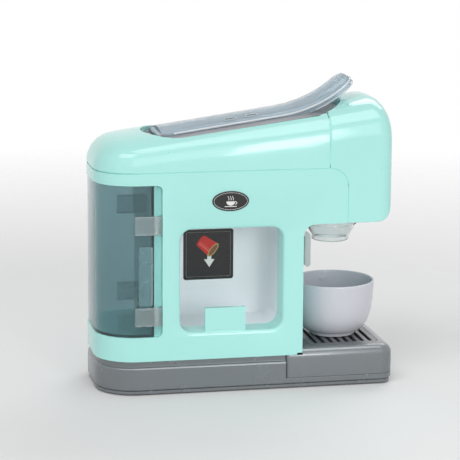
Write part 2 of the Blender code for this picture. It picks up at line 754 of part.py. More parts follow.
def body_halves(shell):
    """Left and right halves of the lower body, with bosses, lugs and the paddle's slot."""
    lower = moulding(shell, "lower")
    cut(lower, nozzle_hole(), paddle_slot())
    height = NICHE_Z0 + OUTLET_HEIGHT
    bore = OUTLET_RADIUS + RUNNING_GAP
    join(lower, rod((NICHE_X + WALL / 2, OUTLET_Y, height), "X", bore + WALL, SOCKET_LENGTH - WALL / 2,
                    ROUND_SIDES))
    cut(lower, rod((NICHE_X - OVERRUN, OUTLET_Y, height), "X", bore, SOCKET_LENGTH + 2 * OVERRUN))
    halves = {}
    for name, side in (("right", -1), ("left", 1)):
        edges = sorted((side * SEAM_GAP / 2, side * (SIDE_Y + OVERRUN)))
        side_box = box((BACK_X - OVERRUN, edges[0], 0), (FRONT_X, edges[1], TOP_Z))
        halves[name] = common(copy(lower), side_box, "MANIFOLD")
        join(halves[name], paddle_lug(side))
    discard(lower)
    shank = SCREW_SHANK_RADIUS + GAP
    length = SIDE_Y - WALL / 2 - SEAM_GAP / 2
    for x, z in boss_places():
        boss = rod((x, -SEAM_GAP / 2, z), "-Y", BOSS_RADIUS, length)
        cut(boss, rod((x, OVERRUN, z), "-Y", shank, OVERRUN + BODY_SCREW_LENGTH, SCREW_SIDES))
        join(halves["right"], boss)
        join(halves["left"], rod((x, SEAM_GAP / 2, z), "Y", BOSS_RADIUS, length))
        head = SCREW_HEAD_RADIUS + RUNNING_GAP
        sink = SIDE_Y - BOSS_SINK
        profile = [(0, -OVERRUN), (shank, -OVERRUN), (shank, sink), (head, sink), (head, SIDE_Y + OVERRUN),
                   (0, SIDE_Y + OVERRUN)]
        cut(halves["left"], revolve(profile, (x, 0, z), "Y", SCREW_SIDES))
    stop_x = WINDOW_X0 + STOP_OFFSET
    stop = box((stop_x, -SIDE_Y + STOP_SETBACK, WINDOW_Z0 - WALL / 2),
               (stop_x + STOP_WIDTH, -SIDE_Y + STOP_SETBACK + STOP_THICKNESS, WINDOW_Z0 + STOP_HEIGHT))
    join(halves["right"], stop)
    return halves


def paddle_lug(side):
    """Ear inside the head that holds the paddle's pin and one end of its switch."""
    low = BAY_TOP_Z + WALL / 2
    top = SWITCH_SHELF + BAY_TOP_Z + WALL + SWITCH_HEIGHT
    edges = sorted((side * LUG_Y, side * (LUG_Y + LUG_THICKNESS)))
    x0 = PADDLE_X - LUG_RADIUS
    outline = [(x0, low), (x0 + LUG_LENGTH, low), (x0 + LUG_LENGTH, top), (SWITCH_X, top)]
    outline += arc((PADDLE_X, PADDLE_Z), LUG_RADIUS, 60, 180, CORNER_STEPS)
    lug = prism(outline, "Y", *edges)
    cut(lug, rod((PADDLE_X, -SIDE_Y, PADDLE_Z), "Y", PIN_RADIUS + GAP, BODY_WIDTH))
    shelf_edges = sorted((side * SEAM_GAP, side * (LUG_Y + LUG_THICKNESS / 2)))
    shelf = box((SWITCH_X, shelf_edges[0], low),
                (SWITCH_X + SWITCH_WIDTH, shelf_edges[1], BAY_TOP_Z + WALL + SWITCH_SHELF - GAP))
    cut(shelf, nozzle_clearance())
    return join(lug, shelf)


def nozzle_clearance():
    return rod((NOZZLE_X, 0, BAY_TOP_Z - OVERRUN), "Z", NOZZLE_NECK_RADIUS + RUNNING_GAP,
               2 * OVERRUN + NOZZLE_NECK_RISE, ROUND_SIDES)


def head_cover(shell):
    """Front moulding with the button's hole and the posts that carry the board."""
    cover = moulding(shell, "head")
    cut(cover, nozzle_hole())
    for y, z in post_places():
        join(cover, rod((BOARD_X + GAP, y, z), "X", POST_RADIUS, BOARD_SPACING + WALL / 2 - GAP))
    hole = rod((HEAD_X - WALL - OVERRUN, 0, BUTTON_Z), "X", BUTTON_RADIUS + RUNNING_GAP,
               WALL + 2 * OVERRUN, ROUND_SIDES)
    return cut(cover, hole)


def post_places():
    reach_y = BOARD_HALF_WIDTH - POST_RADIUS
    reach_z = BOARD_HALF_HEIGHT - POST_RADIUS
    return [(side * reach_y, BUTTON_Z + rise * reach_z) for side in (-1, 1) for rise in (-1, 1)]


# Capsule path

def capsule_bay():
    """White liner behind the window: closed back, rounded corners, open to the chute above."""
    y0 = TUNNEL_Y + GAP
    liner = prism(window_outline(BAY_WALL), "Y", y0, BAY_BACK_Y + BAY_WALL)
    hollow = prism(window_outline(), "Y", y0 - OVERRUN, BAY_BACK_Y)
    plan = footprint(WINDOW_X0 - GAP, WINDOW_X1 + GAP, BODY_WIDTH, BAY_CORNER, BAY_CORNER)
    shift = BAY_BACK_Y - BODY_WIDTH
    common(hollow, prism([(x, y + shift) for x, y in plan], "Z", WINDOW_Z0 - OVERRUN, WINDOW_Z1 + OVERRUN))
    cut(liner, hollow)
    mouth = box((CHUTE_X0, CHUTE_Y - CHUTE_SIDE, WINDOW_Z1 - BAY_CORNER),
                (CHUTE_X1, CHUTE_Y + CHUTE_SIDE, BAY_CEILING_Z + OVERRUN))
    return cut(liner, mouth)


def gate_pivot():
    x = CHUTE_X1 - GATE_BACK
    return (x, CHUTE_Y, deck_height(x) - GATE_DROP)


def capsule_chute():
    """Square tube that leads a capsule from the port in the deck down to the bay."""
    low = BAY_CEILING_Z + GAP
    tube = box((CHUTE_X0 - CHUTE_WALL, CHUTE_Y - CHUTE_SIDE - CHUTE_WALL, low),
               (CHUTE_X1 + CHUTE_WALL, CHUTE_Y + CHUTE_SIDE + CHUTE_WALL, TOP_Z))
    hollow = box((CHUTE_X0, CHUTE_Y - CHUTE_SIDE, low - OVERRUN),
                 (CHUTE_X1, CHUTE_Y + CHUTE_SIDE, TOP_Z + OVERRUN))
    cut(tube, hollow, tilted_prism(deck_outline(OVERRUN), -RECESS_DEPTH - DECK_THICKNESS - GAP, TOP_Z))
    x, y, z = gate_pivot()
    bore = rod((x, y - CHUTE_SIDE - 2 * CHUTE_WALL, z), "Y", GATE_SHAFT_RADIUS + GAP,
               2 * CHUTE_SIDE + 4 * CHUTE_WALL)
    return cut(tube, bore)


def drop_gate():
    """Flap that holds the capsule in the chute until the lever is lifted."""
    x, y, z = gate_pivot()
    half = CHUTE_SIDE - 2 * RUNNING_GAP
    flap = box((x - GATE_LENGTH, y - half, z - GATE_THICKNESS / 2), (x, y + half, z + GATE_THICKNESS / 2))
    join(flap, rod((x, y - half, z), "Y", GATE_BARREL_RADIUS, 2 * half))
    return cut(flap, rod((x, y - CHUTE_SIDE, z), "Y", GATE_SHAFT_RADIUS + GAP, 2 * CHUTE_SIDE))


def crank_end(pivot):
    """Crank pin's place (x, z) for a crank that hangs back from its pivot."""
    return (pivot[0] - CRANK_LENGTH * math.sin(CRANK_LEAN), pivot[2] - CRANK_LENGTH * math.cos(CRANK_LEAN))


def crank_arm(pivot):
    """Flat arm from a pivot to its crank pin, with the pin standing out toward +Y."""
    end = crank_end(pivot)
    arm = prism(bar_outline((pivot[0], pivot[2]), end, CRANK_HALF_WIDTH), "Y",
                CRANK_Y, CRANK_Y + CRANK_THICKNESS)
    pin = rod((end[0], CRANK_Y + CRANK_THICKNESS / 2, end[1]), "Y", CRANK_PIN_RADIUS,
              CRANK_THICKNESS / 2 + LINK_THICKNESS + 2 * GAP)
    return join(arm, pin)


def bar_outline(start, end, half_width):
    """Flat bar with round ends between two (x, z) points."""
    lean = math.degrees(math.atan2(end[1] - start[1], end[0] - start[0]))
    return (arc(start, half_width, lean + 90, lean + 270, CORNER_STEPS)
            + arc(end, half_width, lean - 90, lean + 90, CORNER_STEPS))


def gate_crank():
    """Steel shaft through the gate, with the crank that the link drives."""
    x, y, z = gate_pivot()
    start = y - CHUTE_SIDE - CHUTE_WALL
    shaft = rod((x, start, z), "Y", GATE_SHAFT_RADIUS, CRANK_Y + CRANK_THICKNESS / 2 - start)
    return join(shaft, crank_arm((x, y, z)))


def gate_link():
    """Bar between the lever's crank and the gate's crank."""
    y0 = CRANK_Y + CRANK_THICKNESS + GAP
    ends = (crank_end(lever_pivot()), crank_end(gate_pivot()))
    bar = prism(bar_outline(*ends, LINK_HALF_WIDTH), "Y", y0, y0 + LINK_THICKNESS)
    for x, z in ends:
        cut(bar, rod((x, y0 - OVERRUN, z), "Y", CRANK_PIN_RADIUS + GAP, LINK_THICKNESS + 2 * OVERRUN))
    return bar


# Deck and lever

def lever_pivot():
    return (PIVOT_X, 0.0, deck_height(PIVOT_X) - LEVER_PIVOT_DROP)


def recess_outline(grow=0.0):
    """Plan of the recess in the deck that the lever lies in."""
    side = LEVER_HALF_WIDTH + RUNNING_GAP + grow
    rear = PIVOT_X - RECESS_BACK - grow
    front = PIVOT_X - RECESS_BACK + RECESS_LENGTH + grow
    return [(rear, -side), (front, -side), (front, side), (rear, side)]


def deck():
    """Grey panel with the lever's recess and ears, the capsule port and the crank's slot."""
    panel = tilted_prism(deck_outline(-GAP), -DECK_THICKNESS, 0.0)
    join(panel, tilted_prism(recess_outline(RECESS_WALL), -RECESS_DEPTH - DECK_THICKNESS, -DECK_THICKNESS / 2))
    px, _, pz = lever_pivot()
    ear_y = LEVER_HALF_WIDTH + RUNNING_GAP
    for side in (-1, 1):
        edges = sorted((side * ear_y, side * (ear_y + EAR_THICKNESS)))
        foot = deck_height(px) - DECK_THICKNESS - RECESS_DEPTH
        outline = [(px - EAR_RADIUS, foot), (px + EAR_RADIUS, foot)]
        outline += arc((px, pz), EAR_RADIUS, 0, 180, CORNER_STEPS)
        join(panel, prism(outline, "Y", *edges))
    cut(panel, tilted_prism(recess_outline(), -RECESS_DEPTH, OVERRUN))
    cut(panel, rod((px, -SIDE_Y, pz), "Y", PIN_RADIUS + GAP, BODY_WIDTH, SCREW_SIDES))
    port_z = deck_height(PORT_X) - 2 * OVERRUN
    cut(panel, rod((PORT_X, CHUTE_Y, port_z), "Z", PORT_RADIUS, 4 * OVERRUN, ROUND_SIDES))
    reach = CRANK_LENGTH * math.sin(CRANK_LEAN) + CRANK_HALF_WIDTH
    slot = box((px - reach, CRANK_Y - RUNNING_GAP, pz - CRANK_LENGTH),
               (px + reach, CRANK_Y + CRANK_THICKNESS + RUNNING_GAP, pz))
    return cut(panel, slot)


def lever_path(inset):
    """Stations (x, z, direction, half width, skirt) of the lever's rim, from the pivot to the tip."""
    px, _, _ = lever_pivot()
    along, up = math.cos(DECK_ANGLE), math.sin(DECK_ANGLE)
    start = (px - up * LEVER_RIM_RISE - along * inset, deck_height(px) + along * LEVER_RIM_RISE - up * inset)
    straight = LEVER_STRAIGHT + inset
    bend = (start[0] + along * straight, start[1] + up * straight)
    centre = (bend[0] - LEVER_CURL_RADIUS * up, bend[1] + LEVER_CURL_RADIUS * along)
    half = LEVER_HALF_WIDTH - inset
    corner = LEVER_TIP_RADIUS - inset
    curl = LEVER_CURL_RADIUS * LEVER_CURL_ANGLE - inset
    stations = [(*start, DECK_ANGLE, half, LEVER_SKIRT)]
    for step in range(LEVER_STEPS + 1):
        run = curl * math.sin(math.pi / 2 * step / LEVER_STEPS)
        direction = DECK_ANGLE + run / LEVER_CURL_RADIUS
        narrowing = fall(run - curl + corner, corner, corner)
        skirt = LEVER_SKIRT - fall(run - curl + LEVER_SKIRT_TAPER, LEVER_SKIRT_TAPER,
                                   LEVER_SKIRT - LEVER_TIP_SKIRT)
        stations.append((centre[0] + LEVER_CURL_RADIUS * math.sin(direction),
                         centre[1] - LEVER_CURL_RADIUS * math.cos(direction),
                         direction, half - narrowing, skirt))
    return stations


def lever_solid(inset, below):
    """Crowned tongue along the lever's path; a smaller one is its hollow underside."""
    rings = []
    for x, z, direction, half, skirt in lever_path(inset):
        up = (-math.sin(direction), math.cos(direction))
        crown = LEVER_CROWN * (half + inset) / LEVER_HALF_WIDTH - inset
        points = [(-half, -skirt - below), (half, -skirt - below)]
        points += [(half * across, crown * lift) for across, lift in arc((0, 0), 1, 0, 180, ROUND_STEPS)]
        rings.append([(x + up[0] * rise, y, z + up[1] * rise) for y, rise in points])
    return loft(rings)


def lever():
    """Translucent opening lever with a rim, its pivot barrel and the crank below."""
    px, _, pz = lever_pivot()
    body = lever_solid(0.0, 0.0)
    cut(body, lever_solid(LEVER_THICKNESS, LEVER_THICKNESS))
    half = LEVER_HALF_WIDTH - GAP
    join(body, rod((px, -half, pz), "Y", LEVER_BARREL_RADIUS, 2 * half, 2 * SMALL_SIDES))
    join(body, crank_arm((px, 0, pz)))
    return cut(body, rod((px, -SIDE_Y, pz), "Y", PIN_RADIUS + GAP, BODY_WIDTH, SCREW_SIDES))


def pin(centre, half_length, radius=PIN_RADIUS):
    return rod((centre[0], centre[1] - half_length, centre[2]), "Y", radius, 2 * half_length)


# Tank

def tank():
    """Clear tank, open at the top, with wings that lap over the body's tongue."""
    z0 = NICHE_Z0 + GAP
    z1 = NICHE_Z1 - GAP
    wide = SIDE_Y + OVERRUN
    outline = rounded_rectangle(BACK_X - TANK_LENGTH, z0, TANK_EDGE_X - GAP, z1, TANK_CORNER - GAP)
    vessel = common(body_form(TANK_INSET), prism(outline, "Y", -wide, wide))
    front = NICHE_X - GAP
    for side in (-1, 1):
        for low in tab_heights():
            edges = sorted((side * (SIDE_Y - 2 * TANK_INSET), side * SIDE_Y))
            tab = box((TANK_EDGE_X - GAP - TAB_LENGTH, edges[0], low + GAP),
                      (TANK_EDGE_X - GAP, edges[1], low + TAB_HEIGHT - GAP))
            join(vessel, tab)
    wings = SIDE_Y - TANK_INSET - TANK_WALL
    cut(vessel, box((front, -wings, z0 - OVERRUN), (TANK_EDGE_X + OVERRUN, wings, z1 + OVERRUN)))
    hollow = common(body_form(TANK_INSET + TANK_WALL),
                    box((BACK_X, -wide, z0 + TANK_WALL), (front - TANK_WALL, wide, z1 + OVERRUN)))
    cut(vessel, hollow)
    hole = rod((front - TANK_WALL - OVERRUN, OUTLET_Y, NICHE_Z0 + OUTLET_HEIGHT), "X",
               OUTLET_RADIUS + GAP, TANK_WALL + 2 * OVERRUN)
    return cut(vessel, hole)


def tank_outlet():
    """Plug at the foot of the tank that slides into the body's socket."""
    flange_x = NICHE_X - GAP - TANK_WALL - GAP
    profile = [(OUTLET_BORE, -OUTLET_FLANGE_THICKNESS), (OUTLET_FLANGE, -OUTLET_FLANGE_THICKNESS),
               (OUTLET_FLANGE, 0), (OUTLET_RADIUS, 0), (OUTLET_RADIUS, OUTLET_REACH),
               (OUTLET_BORE, OUTLET_REACH)]
    return revolve(profile, (flange_x, OUTLET_Y, NICHE_Z0 + OUTLET_HEIGHT), "X", 2 * SMALL_SIDES)


# Nozzle, paddle and water path

def nozzle():
    """Clear funnel under the head: flange, cone and a straight ring at the mouth."""
    top = BAY_TOP_Z - GAP
    wall = NOZZLE_WALL
    profile = [(NOZZLE_BORE, top + NOZZLE_NECK_RISE), (NOZZLE_NECK_RADIUS, top + NOZZLE_NECK_RISE),
               (NOZZLE_NECK_RADIUS, top), (NOZZLE_FLANGE_RADIUS, top),
               (NOZZLE_FLANGE_RADIUS, top - NOZZLE_FLANGE_DROP),
               (NOZZLE_RING_RADIUS + wall / 2, top - NOZZLE_CONE_DROP),
               (NOZZLE_RING_RADIUS, top - NOZZLE_CONE_DROP - wall / 2),
               (NOZZLE_RING_RADIUS, top - NOZZLE_DROP), (NOZZLE_RING_RADIUS - wall, top - NOZZLE_DROP),
               (NOZZLE_RING_RADIUS - wall, top - NOZZLE_CONE_DROP),
               (NOZZLE_FLANGE_RADIUS - 2 * wall, top - NOZZLE_FLANGE_DROP),
               (NOZZLE_FLANGE_RADIUS - 2 * wall, top - wall), (NOZZLE_BORE, top - wall)]
    return revolve(profile, (NOZZLE_X, 0, 0))


def paddle():
    """Dispensing paddle: an arm for the switch, a neck through the slot and a blade."""
    neck = PADDLE_NECK / 2
    front = PADDLE_X + neck + PADDLE_BULGE
    shoulder = BAY_TOP_Z - PADDLE_BULGE_DROP
    foot = BAY_TOP_Z - PADDLE_LENGTH
    back = front - PADDLE_BLADE
    tip = PADDLE_BLADE / 2
    outline = [(PADDLE_X + neck, PADDLE_Z + PADDLE_ARM), (PADDLE_X - neck, PADDLE_Z + PADDLE_ARM),
               (PADDLE_X - neck, shoulder + PADDLE_BULGE / 2), (back, shoulder - PADDLE_BULGE),
               (back, foot + tip)]
    outline += arc((front - tip, foot + tip), tip, 180, 360, CORNER_STEPS)[1:]
    outline += arc((front - PADDLE_BULGE, shoulder - PADDLE_BULGE), PADDLE_BULGE, 0, 90, CORNER_STEPS)
    blade = prism(outline, "Y", -PADDLE_HALF_WIDTH, PADDLE_HALF_WIDTH)
    return cut(blade, rod((PADDLE_X, -SIDE_Y, PADDLE_Z), "Y", PIN_RADIUS + GAP, BODY_WIDTH))


def paddle_switch():
    """Small switch in front of the paddle's arm, with its plunger."""
    z0 = BAY_TOP_Z + WALL + SWITCH_SHELF
    half = SWITCH_LENGTH / 2
    case = box((SWITCH_X, -half, z0), (SWITCH_X + SWITCH_WIDTH, half, z0 + SWITCH_HEIGHT))
    plunger = rod((SWITCH_X - SWITCH_PLUNGER, 0, PADDLE_Z + PADDLE_ARM / 2), "X",
                  SWITCH_PLUNGER, 2 * SWITCH_PLUNGER)
    return join(case, plunger)


def pump():
    """Motor can with a wider pump head and its two hose nipples."""
    wall_y = SIDE_Y - WALL - GAP
    profile = [(0, 0), (PUMP_RADIUS, 0), (PUMP_RADIUS, -PUMP_LENGTH), (PUMP_HEAD_RADIUS, -PUMP_LENGTH),
               (PUMP_HEAD_RADIUS, -PUMP_LENGTH - PUMP_HEAD_LENGTH), (0, -PUMP_LENGTH - PUMP_HEAD_LENGTH)]
    case = revolve(profile[::-1], (PUMP_X, wall_y, PUMP_Z), "Y", 2 * SMALL_SIDES)
    y = pump_head_y()
    inlet = rod((PUMP_X, y, PUMP_Z - PUMP_HEAD_RADIUS - NIPPLE_LENGTH), "Z", HOSE_RADIUS, 2 * NIPPLE_LENGTH)
    outlet = rod((PUMP_X + PUMP_HEAD_RADIUS - NIPPLE_LENGTH, y, PUMP_Z), "X", HOSE_RADIUS, 2 * NIPPLE_LENGTH)
    return join(case, inlet, outlet)


def pump_head_y():
    return SIDE_Y - WALL - GAP - PUMP_LENGTH - PUMP_HEAD_LENGTH / 2


def hose(corners):
    """Round tube through corner points, each corner turned at the hose's bend radius."""
    points = [Vector(corners[0])]
    for before, corner, after in zip(corners, corners[1:], corners[2:]):
        corner = Vector(corner)
        start = corner + (Vector(before) - corner).normalized() * HOSE_BEND
        end = corner + (Vector(after) - corner).normalized() * HOSE_BEND
        for step in range(CORNER_STEPS + 1):
            share = step / CORNER_STEPS
            points.append(start.lerp(corner, share).lerp(corner.lerp(end, share), share))
    points.append(Vector(corners[-1]))
    curve = bpy.data.curves.new("hose", "CURVE")
    curve.dimensions = "3D"
    curve.bevel_depth = HOSE_RADIUS
    curve.bevel_resolution = HOSE_SIDES
    curve.use_fill_caps = True
    spline = curve.splines.new("POLY")
    spline.points.add(len(points) - 1)
    for slot, point in zip(spline.points, points):
        slot.co = (*point, 1.0)
    guide = bpy.data.objects.new("hose", curve)
    bpy.context.scene.collection.objects.link(guide)
    mesh = bpy.data.meshes.new_from_object(guide.evaluated_get(bpy.context.evaluated_depsgraph_get()))
    bpy.data.objects.remove(guide, do_unlink=True)
    bm = bmesh.new()
    bm.from_mesh(mesh)
    bpy.data.meshes.remove(mesh)
    bmesh.ops.remove_doubles(bm, verts=bm.verts, dist=GAP / 10)
    return object_from(bm)


def inlet_hose():
    """From the tank's socket along the floor and up to the pump."""
    z = NICHE_Z0 + OUTLET_HEIGHT
    start = NICHE_X + SOCKET_LENGTH + GAP
    y = pump_head_y()
    end_z = PUMP_Z - PUMP_HEAD_RADIUS - NIPPLE_LENGTH - GAP
    return hose([(start, OUTLET_Y, z), (start + 2 * HOSE_BEND, OUTLET_Y, z), (PUMP_X, y, z),
                 (PUMP_X, y, end_z)])


def outlet_hose():
    """From the pump over the head's floor and down to the nozzle."""
    y = pump_head_y()
    start = PUMP_X + PUMP_HEAD_RADIUS + NIPPLE_LENGTH + GAP
    end_z = BAY_TOP_Z - GAP + NOZZLE_NECK_RISE + GAP
    return hose([(start, y, PUMP_Z), (NOZZLE_X, y, PUMP_Z), (NOZZLE_X, 0, PUMP_Z + HOSE_BEND / 2),
                 (NOZZLE_X, 0, end_z)])


# Base

def base_outline(inset, x0=BACK_X, x1=FRONT_X):
    return footprint(x0 + inset, x1 - inset, SIDE_Y - inset, REAR_RADIUS - inset, FRONT_EDGE_RADIUS - inset)


def base_housing():
    """Plinth with a set-back neck and a bead, and a low slab under the drip tray."""
    bead = HOUSING_Z1 - BASE_NECK_HEIGHT
    levels = [(HOUSING_Z0, PLATE_INSET), (HOUSING_Z0 + PLATE_INSET, 0.0), (bead - BEAD_HEIGHT, 0.0),
              (bead - BEAD_HEIGHT / 2, BEAD_INSET), (bead, BASE_NECK_INSET), (HOUSING_Z1, BASE_NECK_INSET)]
    housing = loft([[(x, y, z) for x, y in base_outline(inset)] for z, inset in levels])
    front = FRONT_X + OVERRUN
    wide = SIDE_Y + OVERRUN
    cut(housing, box((TRAY_X0, -wide, SLAB_Z), (front, wide, HOUSING_Z1 + OVERRUN)))
    wall = BASE_NECK_INSET + WALL
    hollow = footprint(BACK_X + wall, TRAY_X0 - WALL, SIDE_Y - wall, REAR_RADIUS - wall, WALL)
    cut(housing, prism(hollow, "Z", HOUSING_Z0 - OVERRUN, HOUSING_Z1 - BASE_TOP))
    for x, y in base_screw_places():
        top = HOUSING_Z1 - BASE_TOP / 2 if x < TRAY_X0 else SLAB_Z - GAP
        join(housing, rod((x, y, HOUSING_Z0), "Z", BOSS_RADIUS, top - HOUSING_Z0))
        depth = min(SCREW_LENGTH, top - HOUSING_Z0 - GAP)
        cut(housing, rod((x, y, HOUSING_Z0 - GAP), "Z", SCREW_SHANK_RADIUS + GAP, depth))
    return housing


def base_screw_places():
    rear = BACK_X + BASE_SCREW_FROM_REAR
    front = TRAY_X0 - WALL / 2 - BOSS_RADIUS
    _, door_y, _ = door_limits(2 * GAP)
    y = max(SIDE_Y - BASE_SCREW_FROM_SIDE, door_y + SCREW_HEAD_RADIUS)
    return [(rear, -y), (rear, y), (front, -y), (front, y)]


def door_limits(grow=0.0):
    """Low and high corners (x0, y, x1) of the door over the batteries."""
    x = CELL_BOX_X + CELL_BOX_WALL + grow
    y = CELL_BOX_Y + CELL_BOX_WALL + DOOR_MARGIN + grow
    return CELL_CENTRE_X - x - DOOR_END_MARGIN, y, CELL_CENTRE_X + x + DOOR_MARGIN


def door_screw_place():
    return CELL_CENTRE_X - CELL_BOX_X - CELL_BOX_WALL - DOOR_END_MARGIN / 2, 0.0


def screw_hole(x, y, sink, depth):
    """Cutter from below for a screw: a sink for its head, then its shank."""
    low = FOOT_HEIGHT - OVERRUN
    shank = SCREW_SHANK_RADIUS + GAP
    head = SCREW_HEAD_RADIUS + GAP
    return revolve([(0, low), (head, low), (head, sink), (shank, sink), (shank, depth), (0, depth)], (x, y, 0),
                   "Z", SCREW_SIDES)


def base_plate():
    """Bottom plate with the battery box, the speaker's slots and the switch's opening."""
    plate = prism(base_outline(PLATE_INSET), "Z", FOOT_HEIGHT, PLATE_TOP_Z)
    wall_x = CELL_BOX_X + CELL_BOX_WALL
    wall_y = CELL_BOX_Y + CELL_BOX_WALL
    centre = CELL_CENTRE_X
    join(plate, box((centre - wall_x, -wall_y, PLATE_TOP_Z - PLATE_THICKNESS / 4),
                    (centre + wall_x, wall_y, CELL_BOX_TOP + CELL_BOX_WALL)))
    x, y = door_screw_place()
    join(plate, rod((x, y, PLATE_TOP_Z - PLATE_THICKNESS / 4), "Z", BOSS_RADIUS, DOOR_BOSS_HEIGHT))
    cut(plate, box((centre - CELL_BOX_X, -CELL_BOX_Y, FOOT_HEIGHT - OVERRUN),
                   (centre + CELL_BOX_X, CELL_BOX_Y, CELL_BOX_TOP)))
    x0, side, x1 = door_limits(GAP)
    cut(plate, box((x0, -side, FOOT_HEIGHT - 2 * OVERRUN), (x1, side, FOOT_HEIGHT + DOOR_THICKNESS + GAP)))
    shank = SCREW_SHANK_RADIUS + GAP
    cut(plate, rod((x, y, FOOT_HEIGHT), "Z", shank, DOOR_SCREW_LENGTH + GAP, SCREW_SIDES))
    cut(plate, *speaker_slots())
    for x, y, _ in foot_places():
        cut(plate, rod((x, y, FOOT_HEIGHT - OVERRUN), "Z", FOOT_RADIUS + GAP, OVERRUN + FOOT_POCKET,
                       ROUND_SIDES))
    for x, y in base_screw_places():
        cut(plate, screw_hole(x, y, FOOT_HEIGHT + SCREW_HEAD_HEIGHT + GAP, PLATE_TOP_Z + OVERRUN))
    half = SLIDER_LENGTH / 2 + RUNNING_GAP
    side = SLIDER_WIDTH / 2 + RUNNING_GAP
    return cut(plate, box((SLIDER_X - half, -side, FOOT_HEIGHT - OVERRUN),
                          (SLIDER_X + half + SLIDER_TRAVEL, side, PLATE_TOP_Z + OVERRUN)))


def speaker_slots():
    middle = (SPEAKER_SLOTS - 1) / 2
    for index in range(SPEAKER_SLOTS):
        y = (index - middle) * SPEAKER_SLOT_PITCH
        half = math.sqrt((SPEAKER_RADIUS - 2 * SPEAKER_SLOT_WIDTH) ** 2 - y * y)
        yield box((SPEAKER_X - half, y - SPEAKER_SLOT_WIDTH / 2, FOOT_HEIGHT - OVERRUN),
                  (SPEAKER_X + half, y + SPEAKER_SLOT_WIDTH / 2, PLATE_TOP_Z + OVERRUN))


def foot_places():
    x0 = BACK_X + FOOT_FROM_REAR
    x1 = FRONT_X - FOOT_FROM_FRONT
    y = SIDE_Y - FOOT_FROM_SIDE
    return [(x0, -y, 0), (x0, y, 0), (x1, -y, 0), (x1, y, 0)]


def battery_cover():
    """Door over the batteries, let into the bottom plate."""
    x0, side, x1 = door_limits()
    door = box((x0, -side, FOOT_HEIGHT), (x1, side, FOOT_HEIGHT + DOOR_THICKNESS))
    x, y = door_screw_place()
    return cut(door, screw_hole(x, y, FOOT_HEIGHT + DOOR_SINK, PLATE_TOP_Z + OVERRUN))


def screw(head, length, axis="Z"):
    """Screw with its head's outer face at the origin and its shank along axis."""
    profile = [(0, 0), (SCREW_HEAD_RADIUS, 0), (SCREW_HEAD_RADIUS, head), (SCREW_SHANK_RADIUS, head),
               (SCREW_SHANK_RADIUS, length), (0, length)]
    return revolve(profile, (0, 0, 0), axis, SCREW_SIDES)


def battery_cell():
    half = CELL_LENGTH / 2
    profile = [(0, -half), (CELL_RADIUS, -half), (CELL_RADIUS, half), (CELL_BUTTON_RADIUS, half),
               (CELL_BUTTON_RADIUS, half + CELL_BUTTON_LENGTH), (0, half + CELL_BUTTON_LENGTH)]
    return revolve(profile, (0, 0, 0), "X", CELL_SIDES)


def cell_places():
    middle = (CELL_COUNT - 1) / 2
    return [(CELL_CENTRE_X, (index - middle) * CELL_SPACING, CELL_Z) for index in range(CELL_COUNT)]


def battery_contact():
    """Spring-steel strip across the ends of the cells."""
    half = CELL_SPACING * (CELL_COUNT - 1) / 2 + CONTACT_WIDTH / 2
    return box((-CONTACT_THICKNESS / 2, -half, -CONTACT_WIDTH / 2),
               (CONTACT_THICKNESS / 2, half, CONTACT_WIDTH / 2))


def contact_places():
    reach = CELL_BOX_X - GAP - CONTACT_THICKNESS / 2
    return [(CELL_CENTRE_X - reach, 0, CELL_Z), (CELL_CENTRE_X + reach, 0, CELL_Z)]


def speaker():
    low = PLATE_TOP_Z + GAP
    rim = SPEAKER_DEPTH / 4
    profile = [(0, rim), (SPEAKER_RADIUS - rim, rim), (SPEAKER_RADIUS - rim, 0), (SPEAKER_RADIUS, 0),
               (SPEAKER_RADIUS, rim), (SPEAKER_MAGNET_RADIUS, 2 * rim), (SPEAKER_MAGNET_RADIUS, SPEAKER_DEPTH),
               (0, SPEAKER_DEPTH)]
    return revolve(profile, (SPEAKER_X, 0, low), "Z", 2 * SMALL_SIDES)


def power_switch():
    """Slide switch under the base: a knob in its slot with a flange on the plate."""
    half = SLIDER_LENGTH / 2
    side = SLIDER_WIDTH / 2
    low = PLATE_TOP_Z + GAP
    knob = box((SLIDER_X - half, -side, FOOT_HEIGHT + SLIDER_RECESS), (SLIDER_X + half, side, low + GAP))
    flange = box((SLIDER_X - half - SLIDER_FLANGE, -side - SLIDER_FLANGE, low),
                 (SLIDER_X + half + SLIDER_FLANGE, side + SLIDER_FLANGE, low + SLIDER_FLANGE_THICKNESS))
    return join(knob, flange)


def foot():
    return rod((0, 0, 0), "Z", FOOT_RADIUS, FOOT_HEIGHT + FOOT_POCKET - GAP, 2 * SMALL_SIDES)


# Drip tray and cup

def tray_basin():
    """Limits (x0, x1, half width) of the hollow under the grate."""
    return COLUMN_X + BASIN_MARGIN, FRONT_X - BASIN_MARGIN, SIDE_Y - BASIN_MARGIN


def tray_form(inset, low, steps):
    """Solid of the tray with rounded top edges, its skin moved in by inset."""
    front = FRONT_X - inset
    side = SIDE_Y - inset
    rear = TRAY_X0 + GAP + inset
    corner = FRONT_EDGE_RADIUS - inset
    rings = [[(x, y, low) for x, y in footprint(rear, front, side, WALL, corner)]]
    for step in range(steps + 1):
        turn = math.pi / 2 * step / steps
        height = TRAY_HEIGHT - inset - (TRAY_EDGE_DROP - inset) * (1 - math.sin(turn))
        across = (TRAY_EDGE_SIDE - inset) * (1 - math.cos(turn))
        ahead = (TRAY_EDGE_FRONT - inset) * (1 - math.cos(turn))
        outline = footprint(rear, front - ahead, side - across, WALL, corner - across)
        rings.append([(x, y, height) for x, y in outline])
    return loft(rings)


